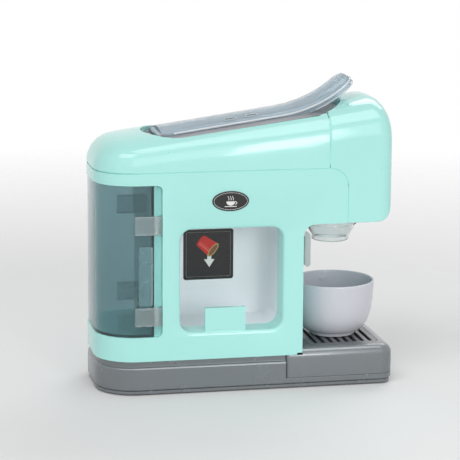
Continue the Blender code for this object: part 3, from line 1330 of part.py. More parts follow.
def drip_tray():
    """Front platform that pulls out, with a basin and a tongue under the column."""
    wide = SIDE_Y + OVERRUN
    low = SLAB_Z + GAP
    x0, x1, half = tray_basin()
    floor = TRAY_HEIGHT - BASIN_DEPTH
    hollow = tray_form(WALL, low - OVERRUN, 1)
    basin = rounded_rectangle(x0 - WALL, -half - WALL, x1 + WALL, half + WALL, WINDOW_RADIUS + WALL)
    cut(hollow, prism(basin, "Z", floor - WALL, TRAY_HEIGHT + OVERRUN))
    cut(hollow, box((TRAY_X0 - OVERRUN, -wide, BASE_HEIGHT - GAP - WALL), (COLUMN_X + WALL, wide, TRAY_HEIGHT)))
    gx0, gx1, ghalf = grate_limits(GAP)
    seat = TRAY_HEIGHT - GRATE_THICKNESS - GAP
    ledge = rounded_rectangle(gx0 - WALL, -ghalf - WALL, gx1 + WALL, ghalf + WALL, WINDOW_RADIUS)
    cut(hollow, prism(ledge, "Z", seat - WALL, TRAY_HEIGHT + OVERRUN))
    tray = cut(tray_form(0.0, low, CORNER_STEPS), hollow)
    cut(tray, box((TRAY_X0 - OVERRUN, -wide, BASE_HEIGHT - GAP), (COLUMN_X + GAP, wide, TRAY_HEIGHT + OVERRUN)))
    cut(tray, prism(rounded_rectangle(x0, -half, x1, half, WINDOW_RADIUS), "Z", floor, TRAY_HEIGHT + OVERRUN))
    return cut(tray, prism(rounded_rectangle(gx0, -ghalf, gx1, ghalf, WINDOW_RADIUS + GAP), "Z", seat,
                           TRAY_HEIGHT + OVERRUN))


def grate_limits(grow=0.0):
    x0, x1, half = tray_basin()
    lip = BASIN_MARGIN - GRATE_MARGIN
    return x0 - lip - grow, x1 + lip + grow, half + lip + grow


def drip_grate():
    """Slotted plate that the cup stands on."""
    x0, x1, half = grate_limits()
    plate = prism(rounded_rectangle(x0, -half, x1, half, WINDOW_RADIUS), "Z",
                  TRAY_HEIGHT - GRATE_THICKNESS, TRAY_HEIGHT)
    pitch = GRATE_BAR + GRATE_SLOT
    for index in range(GRATE_SLOTS):
        x = (x0 + x1) / 2 + (index - (GRATE_SLOTS - 1) / 2) * pitch
        reach = half - GRATE_FRAME
        slot = rounded_rectangle(x - GRATE_SLOT / 2, -reach, x + GRATE_SLOT / 2, reach, GRATE_SLOT / 2, 2)
        cut(plate, prism(slot, "Z", TRAY_HEIGHT - 2 * GRATE_THICKNESS, TRAY_HEIGHT + OVERRUN))
    return plate


def cup():
    """Round cup with a foot ring and a handle on the far side."""
    low = TRAY_HEIGHT + GAP
    foot = CUP_FOOT_HEIGHT
    spread = CUP_RIM_RADIUS - CUP_FOOT_RADIUS
    rise = CUP_HEIGHT - foot
    outer = [(CUP_FOOT_RADIUS + spread * out, low + foot + rise * up) for out, up in CUP_SHARES]
    inner = [(radius - CUP_WALL, z + CUP_WALL * (1 - up)) for (radius, z), (_, up) in zip(outer, CUP_SHARES)]
    profile = [(0, low + foot / 2), (CUP_FOOT_RADIUS - 2 * CUP_WALL, low + foot / 2),
               (CUP_FOOT_RADIUS - CUP_WALL, low), (CUP_FOOT_RADIUS, low)]
    profile += outer + inner[::-1]
    profile += [(0, inner[0][1])]
    bowl = revolve(profile, (CUP_X, 0, 0))
    return join(bowl, cup_handle(low))


def cup_handle(low):
    """Half-round loop from under the rim to the middle of the bowl."""
    top = low + CUP_HEIGHT - HANDLE_TOP_DROP
    middle = top - HANDLE_HEIGHT / 2
    root = CUP_RIM_RADIUS * HANDLE_ROOT_SHARE
    rings = []
    for step in range(2 * CORNER_STEPS + 1):
        turn = math.pi * (0.5 - step / (2 * CORNER_STEPS))
        centre = Vector((CUP_X, root + (CUP_RIM_RADIUS - root + HANDLE_REACH) * math.cos(turn),
                         middle + HANDLE_HEIGHT / 2 * math.sin(turn)))
        outward = Vector((0, math.cos(turn), math.sin(turn)))
        rings.append([centre + outward * (HANDLE_THICKNESS / 2 * b) + Vector((HANDLE_THICKNESS * a, 0, 0))
                      for a, b in arc((0, 0), 1, 0, 360 - 360 / HANDLE_SIDES, HANDLE_SIDES - 1)])
    return loft(rings)


# Head electronics

def start_button():
    """Round button in the front of the head, with a flange inside and a stem to the switch."""
    rear = HEAD_X - WALL - RUNNING_GAP
    front = HEAD_X + BUTTON_PROUD
    flange = BUTTON_RADIUS + BUTTON_FLANGE
    stem = BOARD_X + TACT_HEIGHT + BUTTON_TRAVEL / 4
    edge = BUTTON_PROUD / 2
    profile = [(0, stem), (BUTTON_STEM_RADIUS, stem), (BUTTON_STEM_RADIUS, rear - BUTTON_FLANGE_THICKNESS),
               (flange, rear - BUTTON_FLANGE_THICKNESS), (flange, rear), (BUTTON_RADIUS, rear),
               (BUTTON_RADIUS, front - edge), (BUTTON_RADIUS - edge, front), (0, front)]
    return revolve(profile, (0, 0, BUTTON_Z), "X", ROUND_SIDES)


def circuit_board():
    """Board on the posts behind the button, with the switch that the button presses."""
    board = box((BOARD_X - BOARD_THICKNESS, -BOARD_HALF_WIDTH, BUTTON_Z - BOARD_HALF_HEIGHT),
                (BOARD_X, BOARD_HALF_WIDTH, BUTTON_Z + BOARD_HALF_HEIGHT))
    half = TACT_SIZE / 2
    tact = box((BOARD_X - BOARD_THICKNESS / 2, -half, BUTTON_Z - half),
               (BOARD_X + TACT_HEIGHT - BUTTON_TRAVEL, half, BUTTON_Z + half))
    return join(board, tact)


def status_led():
    start = BOARD_X + GAP
    return rod((start, LED_OFFSET, BUTTON_Z), "X", LED_RADIUS, LED_LENGTH, SMALL_SIDES)


def build():
    clear_scene()
    looks = make_materials()
    shell = body_shell()
    halves = body_halves(shell)
    finish(halves["right"], "body_right", looks["mint"])
    finish(halves["left"], "body_left", looks["mint"])
    finish(moulding(shell, "top"), "top_cover", looks["mint"])
    finish(head_cover(shell), "head_cover", looks["mint"])
    discard(shell)

    finish(capsule_bay(), "capsule_bay", looks["bay_white"])
    finish(capsule_chute(), "capsule_chute", looks["bay_white"])
    gate = gate_pivot()
    finish(drop_gate(), "drop_gate", looks["deck_grey"], gate)
    finish(gate_crank(), "gate_crank", looks["steel"], gate)
    hinge = lever_pivot()
    crank_x, crank_z = crank_end(hinge)
    finish(gate_link(), "gate_link", looks["black_plastic"], (crank_x, 0, crank_z))

    finish(deck(), "deck", looks["deck_grey"])
    finish(lever(), "lever", looks["clear_smoke"], hinge)
    finish(pin(hinge, LEVER_HALF_WIDTH + EAR_THICKNESS), "lever_pin", looks["steel"], hinge)

    finish(tank(), "tank", looks["clear_smoke"])
    finish(tank_outlet(), "tank_outlet", looks["hose"])

    finish(nozzle(), "nozzle", looks["clear"])
    axle = (PADDLE_X, 0, PADDLE_Z)
    finish(paddle(), "paddle", looks["clear"], axle)
    finish(pin(axle, LUG_Y + LUG_THICKNESS), "paddle_pin", looks["steel"])
    finish(paddle_switch(), "paddle_switch", looks["black_plastic"])
    finish(pump(), "pump", looks["steel"])
    finish(inlet_hose(), "inlet_hose", looks["hose"])
    finish(outlet_hose(), "outlet_hose", looks["hose"])

    finish(start_button(), "start_button", looks["button_grey"], (HEAD_X, 0, BUTTON_Z))
    finish(circuit_board(), "circuit_board", looks["board_green"])
    finish(status_led(), "status_led", looks["led"])

    finish(base_housing(), "base_housing", looks["base_silver"])
    finish(base_plate(), "base_plate", looks["base_silver"])
    finish(battery_cover(), "battery_cover", looks["base_silver"])
    finish_each(battery_cell(), "battery_cell", looks["cell"], cell_places())
    finish_each(battery_contact(), "battery_contact", looks["steel"], contact_places())
    finish(speaker(), "speaker", looks["black_plastic"])
    finish(power_switch(), "power_switch", looks["black_plastic"], (SLIDER_X, 0, PLATE_TOP_Z))
    finish_each(foot(), "foot", looks["rubber"], foot_places())
    x, y = door_screw_place()
    door_screw = finish(screw(DOOR_SINK - GAP, DOOR_SCREW_LENGTH), "battery_cover_screw", looks["steel"])
    door_screw.location = (x, y, FOOT_HEIGHT)
    places = [(x, y, FOOT_HEIGHT) for x, y in base_screw_places()]
    finish_each(screw(SCREW_HEAD_HEIGHT, BASE_SCREW_LENGTH), "base_screw", looks["steel"], places)
    places = [(x, SIDE_Y - BOSS_SINK + SCREW_HEAD_HEIGHT, z) for x, z in boss_places()]
    finish_each(screw(SCREW_HEAD_HEIGHT, BODY_SCREW_LENGTH, "-Y"), "body_screw", looks["steel"], places)

    finish(drip_tray(), "drip_tray", looks["base_silver"])
    finish(drip_grate(), "drip_grate", looks["deck_grey"])
    finish(cup(), "cup", looks["cup_white"])


if __name__ == "__main__":
    build()
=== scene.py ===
"""Looks of a toy capsule coffee maker: materials, edges, trim and prints, light and viewpoint."""
import json
import math

import bmesh
import bpy
from mathutils import Matrix, Vector
from mathutils.bvhtree import BVHTree

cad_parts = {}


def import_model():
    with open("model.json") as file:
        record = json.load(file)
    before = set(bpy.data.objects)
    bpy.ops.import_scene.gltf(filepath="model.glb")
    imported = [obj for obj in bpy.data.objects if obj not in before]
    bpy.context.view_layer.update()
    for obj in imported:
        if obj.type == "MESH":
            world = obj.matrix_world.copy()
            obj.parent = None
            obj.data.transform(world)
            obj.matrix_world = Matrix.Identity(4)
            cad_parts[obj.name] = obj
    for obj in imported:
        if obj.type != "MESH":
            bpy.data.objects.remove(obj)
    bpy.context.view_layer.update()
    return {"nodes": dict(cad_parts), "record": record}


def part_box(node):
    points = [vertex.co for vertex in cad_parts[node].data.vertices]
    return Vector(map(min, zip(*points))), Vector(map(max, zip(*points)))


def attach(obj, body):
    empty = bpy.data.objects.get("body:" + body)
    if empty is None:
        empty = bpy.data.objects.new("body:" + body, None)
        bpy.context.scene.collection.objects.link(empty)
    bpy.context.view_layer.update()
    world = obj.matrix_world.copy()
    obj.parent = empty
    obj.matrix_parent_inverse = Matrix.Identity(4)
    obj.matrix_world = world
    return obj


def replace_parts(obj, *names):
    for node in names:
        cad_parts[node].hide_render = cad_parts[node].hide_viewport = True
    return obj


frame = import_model()
NODES = frame["nodes"]
SCENE = bpy.context.scene

# Lengths are in metres, small ones written with MM; outlines and rises on a Sheet are in millimetres
MM = 0.001

# Planes that flat pieces lie on: the side wall that faces the viewer and the back of the window bay
SIDE_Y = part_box("body_right")[0].y
BAY_Y = 10 * MM


# Materials

class Nodes:
    """A material's node tree, with short calls that add, join and mix its nodes."""

    def __init__(self, name):
        self.material = bpy.data.materials.new(name)
        self.material.use_nodes = True
        self.tree = self.material.node_tree
        self.shader = self.tree.nodes["Principled BSDF"]
        self.place = self.add("ShaderNodeTexCoord").outputs["Object"]

    def add(self, kind, **values):
        """Add a node of a kind and set its properties."""
        node = self.tree.nodes.new(kind)
        for key, value in values.items():
            setattr(node, key, value)
        return node

    def join(self, source, target):
        """Link an output to an input."""
        self.tree.links.new(source, target)

    def set(self, **sockets):
        """Set the shader's own sockets, with underscores for the spaces in their names."""
        for key, value in sockets.items():
            self.shader.inputs[key.replace("_", " ")].default_value = value

    def noise(self, scale, detail=2.0, stretch=(1, 1, 1)):
        """Noise fixed to the object's own coordinates."""
        mapping = self.add("ShaderNodeMapping")
        mapping.inputs["Scale"].default_value = stretch
        self.join(self.place, mapping.inputs["Vector"])
        node = self.add("ShaderNodeTexNoise")
        node.inputs["Scale"].default_value = scale
        node.inputs["Detail"].default_value = detail
        self.join(mapping.outputs["Vector"], node.inputs["Vector"])
        return node.outputs["Fac"]

    def spread(self, source, low, high, start=0.3, end=0.7):
        """Map a value from start..end to low..high, and hold it there."""
        node = self.add("ShaderNodeMapRange")
        for key, value in zip(("From Min", "From Max", "To Min", "To Max"), (start, end, low, high)):
            node.inputs[key].default_value = value
        self.join(source, node.inputs["Value"])
        return node.outputs["Result"]

    def mix(self, share, first, second):
        """Mix two colours, each a colour or a socket, by a socket or a number."""
        node = self.add("ShaderNodeMix", data_type="RGBA")
        for index, value in ((0, share), (6, first), (7, second)):
            if isinstance(value, bpy.types.NodeSocket):
                self.join(value, node.inputs[index])
            else:
                node.inputs[index].default_value = value
        return node.outputs[2]

    def axis(self, name):
        """One of the object's own coordinates."""
        node = self.add("ShaderNodeSeparateXYZ")
        self.join(self.place, node.inputs["Vector"])
        return node.outputs[name]

    def bump(self, source, strength, depth):
        """Fine relief in the surface."""
        node = self.add("ShaderNodeBump")
        node.inputs["Strength"].default_value = strength
        node.inputs["Distance"].default_value = depth
        self.join(source, node.inputs["Height"])
        self.join(node.outputs["Normal"], self.shader.inputs["Normal"])


def linear(colour):
    """A colour of 0..255 display values as linear values with alpha."""
    shares = [part / 255 for part in colour]
    curve = [share / 12.92 if share <= 0.04045 else ((share + 0.055) / 1.055) ** 2.4 for share in shares]
    return tuple(curve) + (1.0,)


def shade(colour, factor):
    """The same hue, lighter or darker by a factor."""
    return tuple(min(part * factor, 1.0) for part in colour[:3]) + (1.0,)


# Scales of the noises: flow marks, specks, uneven gloss, skin and drawn lines
FLOW_SCALE = 14.0
FLOW_STRETCH = (1.0, 1.0, 0.45)
SPECK_SCALE = 300.0
GLOSS_SCALE = 55.0
SKIN_SCALE = 900.0
DRAWN_SCALE = 320.0
DRAWN_STRETCH = (1, 1, 30)


def plastic(name, colour, roughness, texture=0.00004, specks=0.0, clear=0.0, ior=1.5, tint=0.05,
            metallic=0.0, painted_light_ramp=None):
    """Moulded plastic: faint flow marks in its colour, an uneven gloss, a fine skin and a few specks.

    painted_light_ramp is (axis, start, end, colour): painted light and shade, the colour that it turns to
    along that axis of the object.
    """
    n = Nodes(name)
    base = linear(colour)
    flow = n.spread(n.noise(FLOW_SCALE, detail=3.0, stretch=FLOW_STRETCH), 0.0, 1.0)
    painted = n.mix(flow, shade(base, 1.0 - tint), shade(base, 1.0 + tint / 2))
    # Painted light and shade: the colour turns along one axis of the object
    if painted_light_ramp:
        axis, start, end, other = painted_light_ramp
        painted = n.mix(n.spread(n.axis(axis), 0.0, 1.0, start, end), painted, linear(other))
    if specks:
        spots = n.spread(n.noise(SPECK_SCALE, detail=0.0), 0.0, specks, start=0.84, end=0.87)
        painted = n.mix(spots, painted, shade(base, 0.45))
    n.join(painted, n.shader.inputs["Base Color"])
    gloss = n.spread(n.noise(GLOSS_SCALE, detail=4.0), roughness * 0.82, roughness * 1.22)
    n.join(gloss, n.shader.inputs["Roughness"])
    n.bump(n.noise(SKIN_SCALE), strength=0.35, depth=texture)
    n.set(IOR=ior, Transmission_Weight=clear, Metallic=metallic)
    return n.material


def metal(name, colour, roughness):
    """Plated steel with a drawn grain."""
    n = Nodes(name)
    base = linear(colour)
    lines = n.noise(DRAWN_SCALE, detail=3.0, stretch=DRAWN_STRETCH)
    n.join(n.mix(n.spread(lines, 0.0, 1.0), shade(base, 0.85), base), n.shader.inputs["Base Color"])
    n.join(n.spread(lines, roughness * 0.8, roughness * 1.4), n.shader.inputs["Roughness"])
    n.bump(lines, strength=0.2, depth=0.00002)
    n.set(Metallic=1.0)
    return n.material


# Painted shade and light: the deck darkens at its front lip under the lever's raised tip, and the tank
# turns paler on its front flange where the lit mint wall shows through
DECK_SHADE_RAMP = ("X", 44 * MM, 56 * MM, (112, 113, 118))
TANK_LIGHT_RAMP = ("X", -74.2 * MM, -72.8 * MM, (198, 214, 215))

LOOKS = {
    "mint": plastic("mint_gloss", (178, 240, 233), 0.10, texture=0.00002, specks=0.2, tint=0.02),
    "clear_smoke": plastic("smoke_clear", (204, 222, 226), 0.07, clear=0.94, ior=1.3, tint=0.03),
    # The deck's darker front lip is painted shade under the lever's raised tip
    "deck_grey": plastic("satin_grey", (150, 151, 156), 0.34, painted_light_ramp=DECK_SHADE_RAMP),
    "bay_white": plastic("cool_white", (246, 250, 254), 0.34, tint=0.02),
    "base_silver": plastic("silver_grey", (126, 131, 134), 0.24, tint=0.03, metallic=0.35),
    "cup_white": plastic("cup_gloss", (212, 212, 220), 0.14, tint=0.02),
    "clear": plastic("clear_gloss", (232, 238, 238), 0.08, clear=0.95, ior=1.46, tint=0.02),
    "button_grey": plastic("button_gloss", (166, 170, 174), 0.22),
    "steel": metal("plated_steel", (196, 198, 200), 0.28),
    "black_plastic": plastic("black_satin", (34, 34, 36), 0.42),
    "board_green": plastic("board_laminate", (40, 110, 62), 0.35, texture=0.00008),
    "rubber": plastic("soft_rubber", (44, 44, 46), 0.75, texture=0.00010),
    "hose": plastic("milky_hose", (216, 216, 210), 0.34, clear=0.35),
    "cell": plastic("cell_wrap", (62, 72, 150), 0.30),
    "led": plastic("red_lens", (214, 84, 72), 0.12, clear=0.6),
}
LEVER_LOOK = plastic("smoke_milky", (198, 216, 226), 0.14, texture=0.000006, clear=0.6, ior=1.35, tint=0.03)
# Pale, nearly opaque clear plastic for the lever's bead, tip line and mark rims: partly painted highlight
# along those edges
BEAD_HIGHLIGHT_LOOK = plastic("bead_highlight", (224, 231, 236), 0.10, texture=0.000004, clear=0.1, tint=0.02)
PADDLE_LOOK = plastic("grey_milky", (214, 216, 217), 0.24, clear=0.06, ior=1.46)
# The tank's front flange is painted paler: painted light for the lit mint wall seen through it
TANK_LOOK = plastic("tank_smoke", (168, 194, 198), 0.07, texture=0.00001, clear=0.94, ior=1.3, tint=0.03,
                    painted_light_ramp=TANK_LIGHT_RAMP)
MARK_LOOK = plastic("mark_smoke", (104, 126, 132), 0.16, clear=0.1, ior=1.4)
FROSTED = plastic("frosted_clear", (232, 242, 244), 0.30, texture=0.00001, clear=0.80, ior=1.3)
STRIP_LOOK = plastic("strip_milky", (214, 226, 228), 0.26, texture=0.000006, clear=0.55, ior=1.3)
# Black for the prints, and painted shade in the screws' cross recesses
BLACK_PRINT_AND_SHADE = plastic("black_print_and_shade", (20, 20, 22), 0.26, tint=0.10)
PRINT_WHITE = plastic("print_white", (236, 236, 234), 0.32)
PRINT_GREY = plastic("print_grey", (150, 150, 150), 0.36)
PRINT_RED = plastic("print_red", (208, 36, 28), 0.30, tint=0.12)
PRINT_GOLD = plastic("print_gold", (186, 150, 92), 0.30, tint=0.15)
PRINT_BROWN = plastic("print_brown", (122, 84, 52), 0.4)
PRINT_PINK = plastic("print_pink", (232, 112, 100), 0.3)
SLOT_OF = {row["node"]: row["material_slot"] for row in frame["record"]["subparts"]}
OWN_LOOKS = {"lever": LEVER_LOOK, "paddle": PADDLE_LOOK, "tank": TANK_LOOK}


# Dressing of the CAD nodes

def smooth_group(angle):
    """Node group that shades every face smooth and keeps edges sharper than angle crisp."""
    group = bpy.data.node_groups.new("smooth_by_angle", "GeometryNodeTree")
    group.interface.new_socket("Geometry", in_out="INPUT", socket_type="NodeSocketGeometry")
    group.interface.new_socket("Geometry", in_out="OUTPUT", socket_type="NodeSocketGeometry")
    start = group.nodes.new("NodeGroupInput")
    end = group.nodes.new("NodeGroupOutput")
    faces = group.nodes.new("GeometryNodeSetShadeSmooth")
    edges = group.nodes.new("GeometryNodeSetShadeSmooth")
    edges.domain = "EDGE"
    between = group.nodes.new("GeometryNodeInputMeshEdgeAngle")
    compare = group.nodes.new("FunctionNodeCompare")
    compare.operation = "LESS_THAN"
    compare.inputs["B"].default_value = angle
    group.links.new(start.outputs[0], faces.inputs["Geometry"])
    group.links.new(faces.outputs["Geometry"], edges.inputs["Geometry"])
    group.links.new(between.outputs["Unsigned Angle"], compare.inputs["A"])
    group.links.new(compare.outputs["Result"], edges.inputs["Shade Smooth"])
    group.links.new(edges.outputs["Geometry"], end.inputs[0])
    return group


CRISP_ANGLE = math.radians(27)
SMOOTH = smooth_group(CRISP_ANGLE)
EDGE_RADIUS = {"mint": 0.9 * MM, "base_silver": 0.6 * MM, "deck_grey": 0.4 * MM, "clear_smoke": 0.35 * MM,
               "cup_white": 0.3 * MM}
SMALL_EDGE_RADIUS = 0.2 * MM
EDGE_SEGMENTS = 3
WIDE_EDGES = ("top_cover", "head_cover")
WELD_REACH = 0.001 * MM
FLAT_ANGLE = math.radians(0.4)


def round_edges(thing, radius):
    """Give the edges a moulded radius, held back where edges crowd except on the covers."""
    edges = thing.modifiers.new("edges", "BEVEL")
    edges.width = radius
    edges.segments = EDGE_SEGMENTS
    edges.limit_method = "ANGLE"
    edges.angle_limit = CRISP_ANGLE
    edges.use_clamp_overlap = thing.name not in WIDE_EDGES
    edges.harden_normals = True


def soften(thing, radius):
    """Weld the triangles, shade the curves smooth and give the edges a moulded radius."""
    weld = thing.modifiers.new("weld", "WELD")
    weld.merge_threshold = WELD_REACH
    flat = thing.modifiers.new("flat", "DECIMATE")
    flat.decimate_type = "DISSOLVE"
    flat.angle_limit = FLAT_ANGLE
    curves = thing.modifiers.new("curves", "NODES")
    curves.node_group = SMOOTH
    round_edges(thing, radius)


def dress_frame():
    """Give every CAD node its material and its edges; the clear tank throws no shadow."""
    for name, thing in NODES.items():
        for layer in ("custom_normal", "sharp_edge", "sharp_face"):
            if layer in thing.data.attributes:
                thing.data.attributes.remove(thing.data.attributes[layer])
        slot = SLOT_OF[name]
        thing.data.materials.clear()
        thing.data.materials.append(OWN_LOOKS.get(name, LOOKS[slot]))
        soften(thing, EDGE_RADIUS.get(slot, SMALL_EDGE_RADIUS))
    NODES["tank"].visible_shadow = False


# Forms

LATHE_STEPS = 96
CORNER_STEPS = 6


def as_object(name, bm, look, body, edge=0.0):
    """Finish a bmesh as a named object that rides on a body, with its sharp edges rounded by edge."""
    bmesh.ops.recalc_face_normals(bm, faces=bm.faces)
    mesh = bpy.data.meshes.new(name)
    bm.to_mesh(mesh)
    bm.free()
    mesh.materials.append(look)
    mesh.shade_smooth()
    mesh.set_sharp_from_angle(angle=CRISP_ANGLE)
    made = bpy.data.objects.new(name, mesh)
    SCENE.collection.objects.link(made)
    if edge:
        round_edges(made, edge)
    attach(made, body)
    return made


def sweep(start, end, steps):
    """Angles from start to end in equal steps, both ends included."""
    return [start + (end - start) * step / steps for step in range(steps + 1)]


def around(steps):
    """Angles of a full turn, each once."""
    return sweep(0, math.tau, steps)[:-1]


def bridge(bm, near, far):
    """Faces between two rings with the same number of points."""
    for step in range(len(near)):
        after = (step + 1) % len(near)
        bm.faces.new((near[step], near[after], far[after], far[step]))


def mirrored(points):
    """The same points on the other side of the middle plane."""
    return [Vector((point.x, -point.y, point.z)) for point in points]


def lathe(bm, profile, centre):
    """Turn a closed profile of (radius, z) points round the vertical through centre."""
    rings = []
    for radius, z in profile:
        if radius == 0:
            rings.append([bm.verts.new((centre[0], centre[1], z))])
            continue
        places = [(centre[0] + radius * math.cos(turn), centre[1] + radius * math.sin(turn), z)
                  for turn in around(LATHE_STEPS)]
        rings.append([bm.verts.new(place) for place in places])
    for low, high in zip(rings, rings[1:]):
        for step in range(LATHE_STEPS):
            after = (step + 1) % LATHE_STEPS
            corners = [low[step % len(low)], low[after % len(low)],
                       high[after % len(high)], high[step % len(high)]]
            bm.faces.new(list(dict.fromkeys(corners)))


def tube(bm, path, radius, sides, closed=False):
    """Round tube along a path, with flat ends or closed to a ring."""
    rings = []
    for index, point in enumerate(path):
        ahead = path[(index + 1) % len(path)] if closed or index + 1 < len(path) else path[index]
        behind = path[index - 1] if closed or index else path[index]
        along = (Vector(ahead) - Vector(behind)).normalized()
        side = along.cross(Vector((0, 0, 1)))
        side = side.normalized() if side.length > 0.01 else Vector((0, 1, 0))
        over = side.cross(along)
        rings.append([bm.verts.new(Vector(point) + side * (radius * math.cos(turn))
                                   + over * (radius * math.sin(turn))) for turn in around(sides)])
    pairs = list(zip(rings, rings[1:]))
    if closed:
        pairs.append((rings[-1], rings[0]))
    else:
        bm.faces.new(rings[0])
        bm.faces.new(rings[-1])
    for low, high in pairs:
        bridge(bm, low, high)


def smooth_curve(points, steps):
    """Catmull-Rom curve through points, with steps to a span."""
    points = [Vector(point) for point in points]
    ends = [2 * points[0] - points[1]] + points + [2 * points[-1] - points[-2]]
    curve = []
    for a, b, c, d in zip(ends, ends[1:], ends[2:], ends[3:]):
        for step in range(steps):
            t = step / steps
            curve.append(0.5 * (2 * b + (c - a) * t + (2 * a - 5 * b + 4 * c - d) * t * t
                                + (3 * b - a - 3 * c + d) * t ** 3))
    return curve + [points[-1]]


class Sheet:
    """Flat artwork on a plane: outlines in millimetres from a centre, with rises off the plane."""

    def __init__(self, centre, across=(1, 0, 0), up=(0, 0, 1)):
        self.centre = Vector(centre)
        self.across = Vector(across).normalized()
        self.up = Vector(up).normalized()
        self.out = self.across.cross(self.up)

    def at(self, u, v, rise):
        """Place of a point of the artwork."""
        return self.centre + (self.across * u + self.up * v + self.out * rise) * MM

    def prism(self, bm, outline, low, high):
        """Extrude an outline of (u, v) points between two rises."""
        floor = [bm.verts.new(self.at(u, v, low)) for u, v in outline]
        top = [bm.verts.new(self.at(u, v, high)) for u, v in outline]
        bm.faces.new(floor[::-1])
        bm.faces.new(top)
        bridge(bm, floor, top)

    def dashes(self, bm, path, dash, gap, width, low, high):
        """Stitches of a given dash and gap along a closed path."""
        path = [Vector(point) for point in path]
        spans = list(zip(path, path[1:] + path[:1]))
        total = sum((b - a).length for a, b in spans)
        count = max(round(total / (dash + gap)), 3)
        for index in range(count):
            start = self.along(spans, total * index / count)
            end = self.along(spans, total * (index + dash / (dash + gap)) / count)
            side = (end - start).orthogonal().normalized() * (width / 2)
            self.prism(bm, [start - side, end - side, end + side, start + side], low, high)

    @staticmethod
    def along(spans, reach):
        """Point at a distance along the spans of a path."""
        for a, b in spans:
            step = (b - a).length
            if reach <= step:
                return a.lerp(b, reach / step)
            reach -= step
        return spans[-1][1]

    def stroke(self, bm, points, width, low, high):
        """A line of constant width through points."""
        points = [Vector(point) for point in points]
        left = []
        right = []
        for index, point in enumerate(points):
            ahead = points[min(index + 1, len(points) - 1)] - points[max(index - 1, 0)]
            side = ahead.orthogonal().normalized() * (width / 2)
            left.append(point + side)
            right.append(point - side)
        self.prism(bm, left + right[::-1], low, high)


def oval(half_u, half_v, steps=64, centre=(0, 0), turn=0.0):
    """Outline of an ellipse, turned about its centre."""
    cos = math.cos(turn)
    sin = math.sin(turn)
    points = []
    for angle in around(steps):
        u = half_u * math.cos(angle)
        v = half_v * math.sin(angle)
        points.append((centre[0] + u * cos - v * sin, centre[1] + u * sin + v * cos))
    return points


def rounded(half_u, half_v, radius):
    """Rectangle with round corners, about the centre."""
    points = []
    for corner, (side, rise) in enumerate(((1, 1), (-1, 1), (-1, -1), (1, -1))):
        for angle in sweep(math.pi / 2 * corner, math.pi / 2 * (corner + 1), CORNER_STEPS):
            points.append((side * (half_u - radius) + radius * math.cos(angle),
                           rise * (half_v - radius) + radius * math.sin(angle)))
    return points


# Cup and nozzle, turned finely

# The bowl from foot to rim, as shares of the way out and of the way up
CUP_SHARES = ((0.0, 0.0), (0.36, 0.05), (0.70, 0.24), (0.90, 0.54), (1.0, 1.0))
CUP_STEPS = 6
RIM_STEPS = 8
CUP_FOOT_RADIUS = 17.5 * MM
CUP_RIM_RADIUS = 32.5 * MM
CUP_FOOT = 2.6 * MM
CUP_WALL = 1.8 * MM
FOOT_INNER_ROUND = 0.2 * MM
FOOT_OUTER_ROUND = 0.3 * MM
HANDLE_REACH = 11.8 * MM
HANDLE_RISE = 26 * MM
HANDLE_DROP = 6.5 * MM
HANDLE_ROOT_SHARE = 0.86
HANDLE_HALF_WIDTH = 2.8 * MM
HANDLE_HALF_THICKNESS = 1.4 * MM
HANDLE_STEPS = 32
HANDLE_SIDES = 20


def cup():
    """Glossy cup: round bowl on a foot ring with a rolled rim, and its handle on the far side."""
    low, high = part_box("cup")
    centre = ((low.x + high.x) / 2, 0)
    rise = high.z - low.z - CUP_FOOT
    bowl = smooth_curve([(out, up, 0) for out, up in CUP_SHARES], CUP_STEPS)
    outer = [(CUP_FOOT_RADIUS + (CUP_RIM_RADIUS - CUP_FOOT_RADIUS) * min(point.x, 1.0),
              low.z + CUP_FOOT + rise * point.y) for point in bowl]
    lip = CUP_WALL / 2
    outer = [(radius, min(z, high.z - lip)) for radius, z in outer]
    rim = [(CUP_RIM_RADIUS - lip + lip * math.cos(turn), high.z - lip + lip * math.sin(turn))
           for turn in sweep(0, math.pi, RIM_STEPS)[1:-1]]
    inner = [(radius - CUP_WALL, z + CUP_WALL * (1 - point.y))
             for (radius, z), point in zip(outer, bowl)][::-1]
    floor = low.z + CUP_FOOT / 2
    foot = [(0, floor), (CUP_FOOT_RADIUS - 2 * CUP_WALL, floor),
            (CUP_FOOT_RADIUS - CUP_WALL, low.z + FOOT_INNER_ROUND),
            (CUP_FOOT_RADIUS - 0.7 * CUP_WALL, low.z), (CUP_FOOT_RADIUS - 0.3 * CUP_WALL, low.z),
            (CUP_FOOT_RADIUS, low.z + FOOT_OUTER_ROUND)]
    bm = bmesh.new()
    lathe(bm, foot + outer + rim + inner + [(0, inner[-1][1])], centre)
    made = as_object("cup_bowl", bm, LOOKS["cup_white"], "cup")
    cup_handle(centre[0], high.z - HANDLE_DROP - HANDLE_RISE / 2)
    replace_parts(made, "cup")


def cup_handle(x, middle):
    """Flat oval bar bent to half an ellipse, with its two roots inside the bowl's wall."""
    root = CUP_RIM_RADIUS * HANDLE_ROOT_SHARE
    reach = CUP_RIM_RADIUS - root + HANDLE_REACH
    bm = bmesh.new()
    rings = []
    for turn in sweep(math.pi / 2, -math.pi / 2, HANDLE_STEPS):
        point = Vector((x, root + reach * math.cos(turn), middle + HANDLE_RISE / 2 * math.sin(turn)))
        outward = Vector((0, math.cos(turn), math.sin(turn)))
        rings.append([bm.verts.new(point + outward * (HANDLE_HALF_THICKNESS * math.sin(spin))
                                   + Vector((HANDLE_HALF_WIDTH * math.cos(spin), 0, 0)))
                      for spin in around(HANDLE_SIDES)])
    for near, far in zip(rings, rings[1:]):
        bridge(bm, near, far)
    bm.faces.new(rings[0])
    bm.faces.new(rings[-1])
    as_object("cup_handle", bm, LOOKS["cup_white"], "cup")


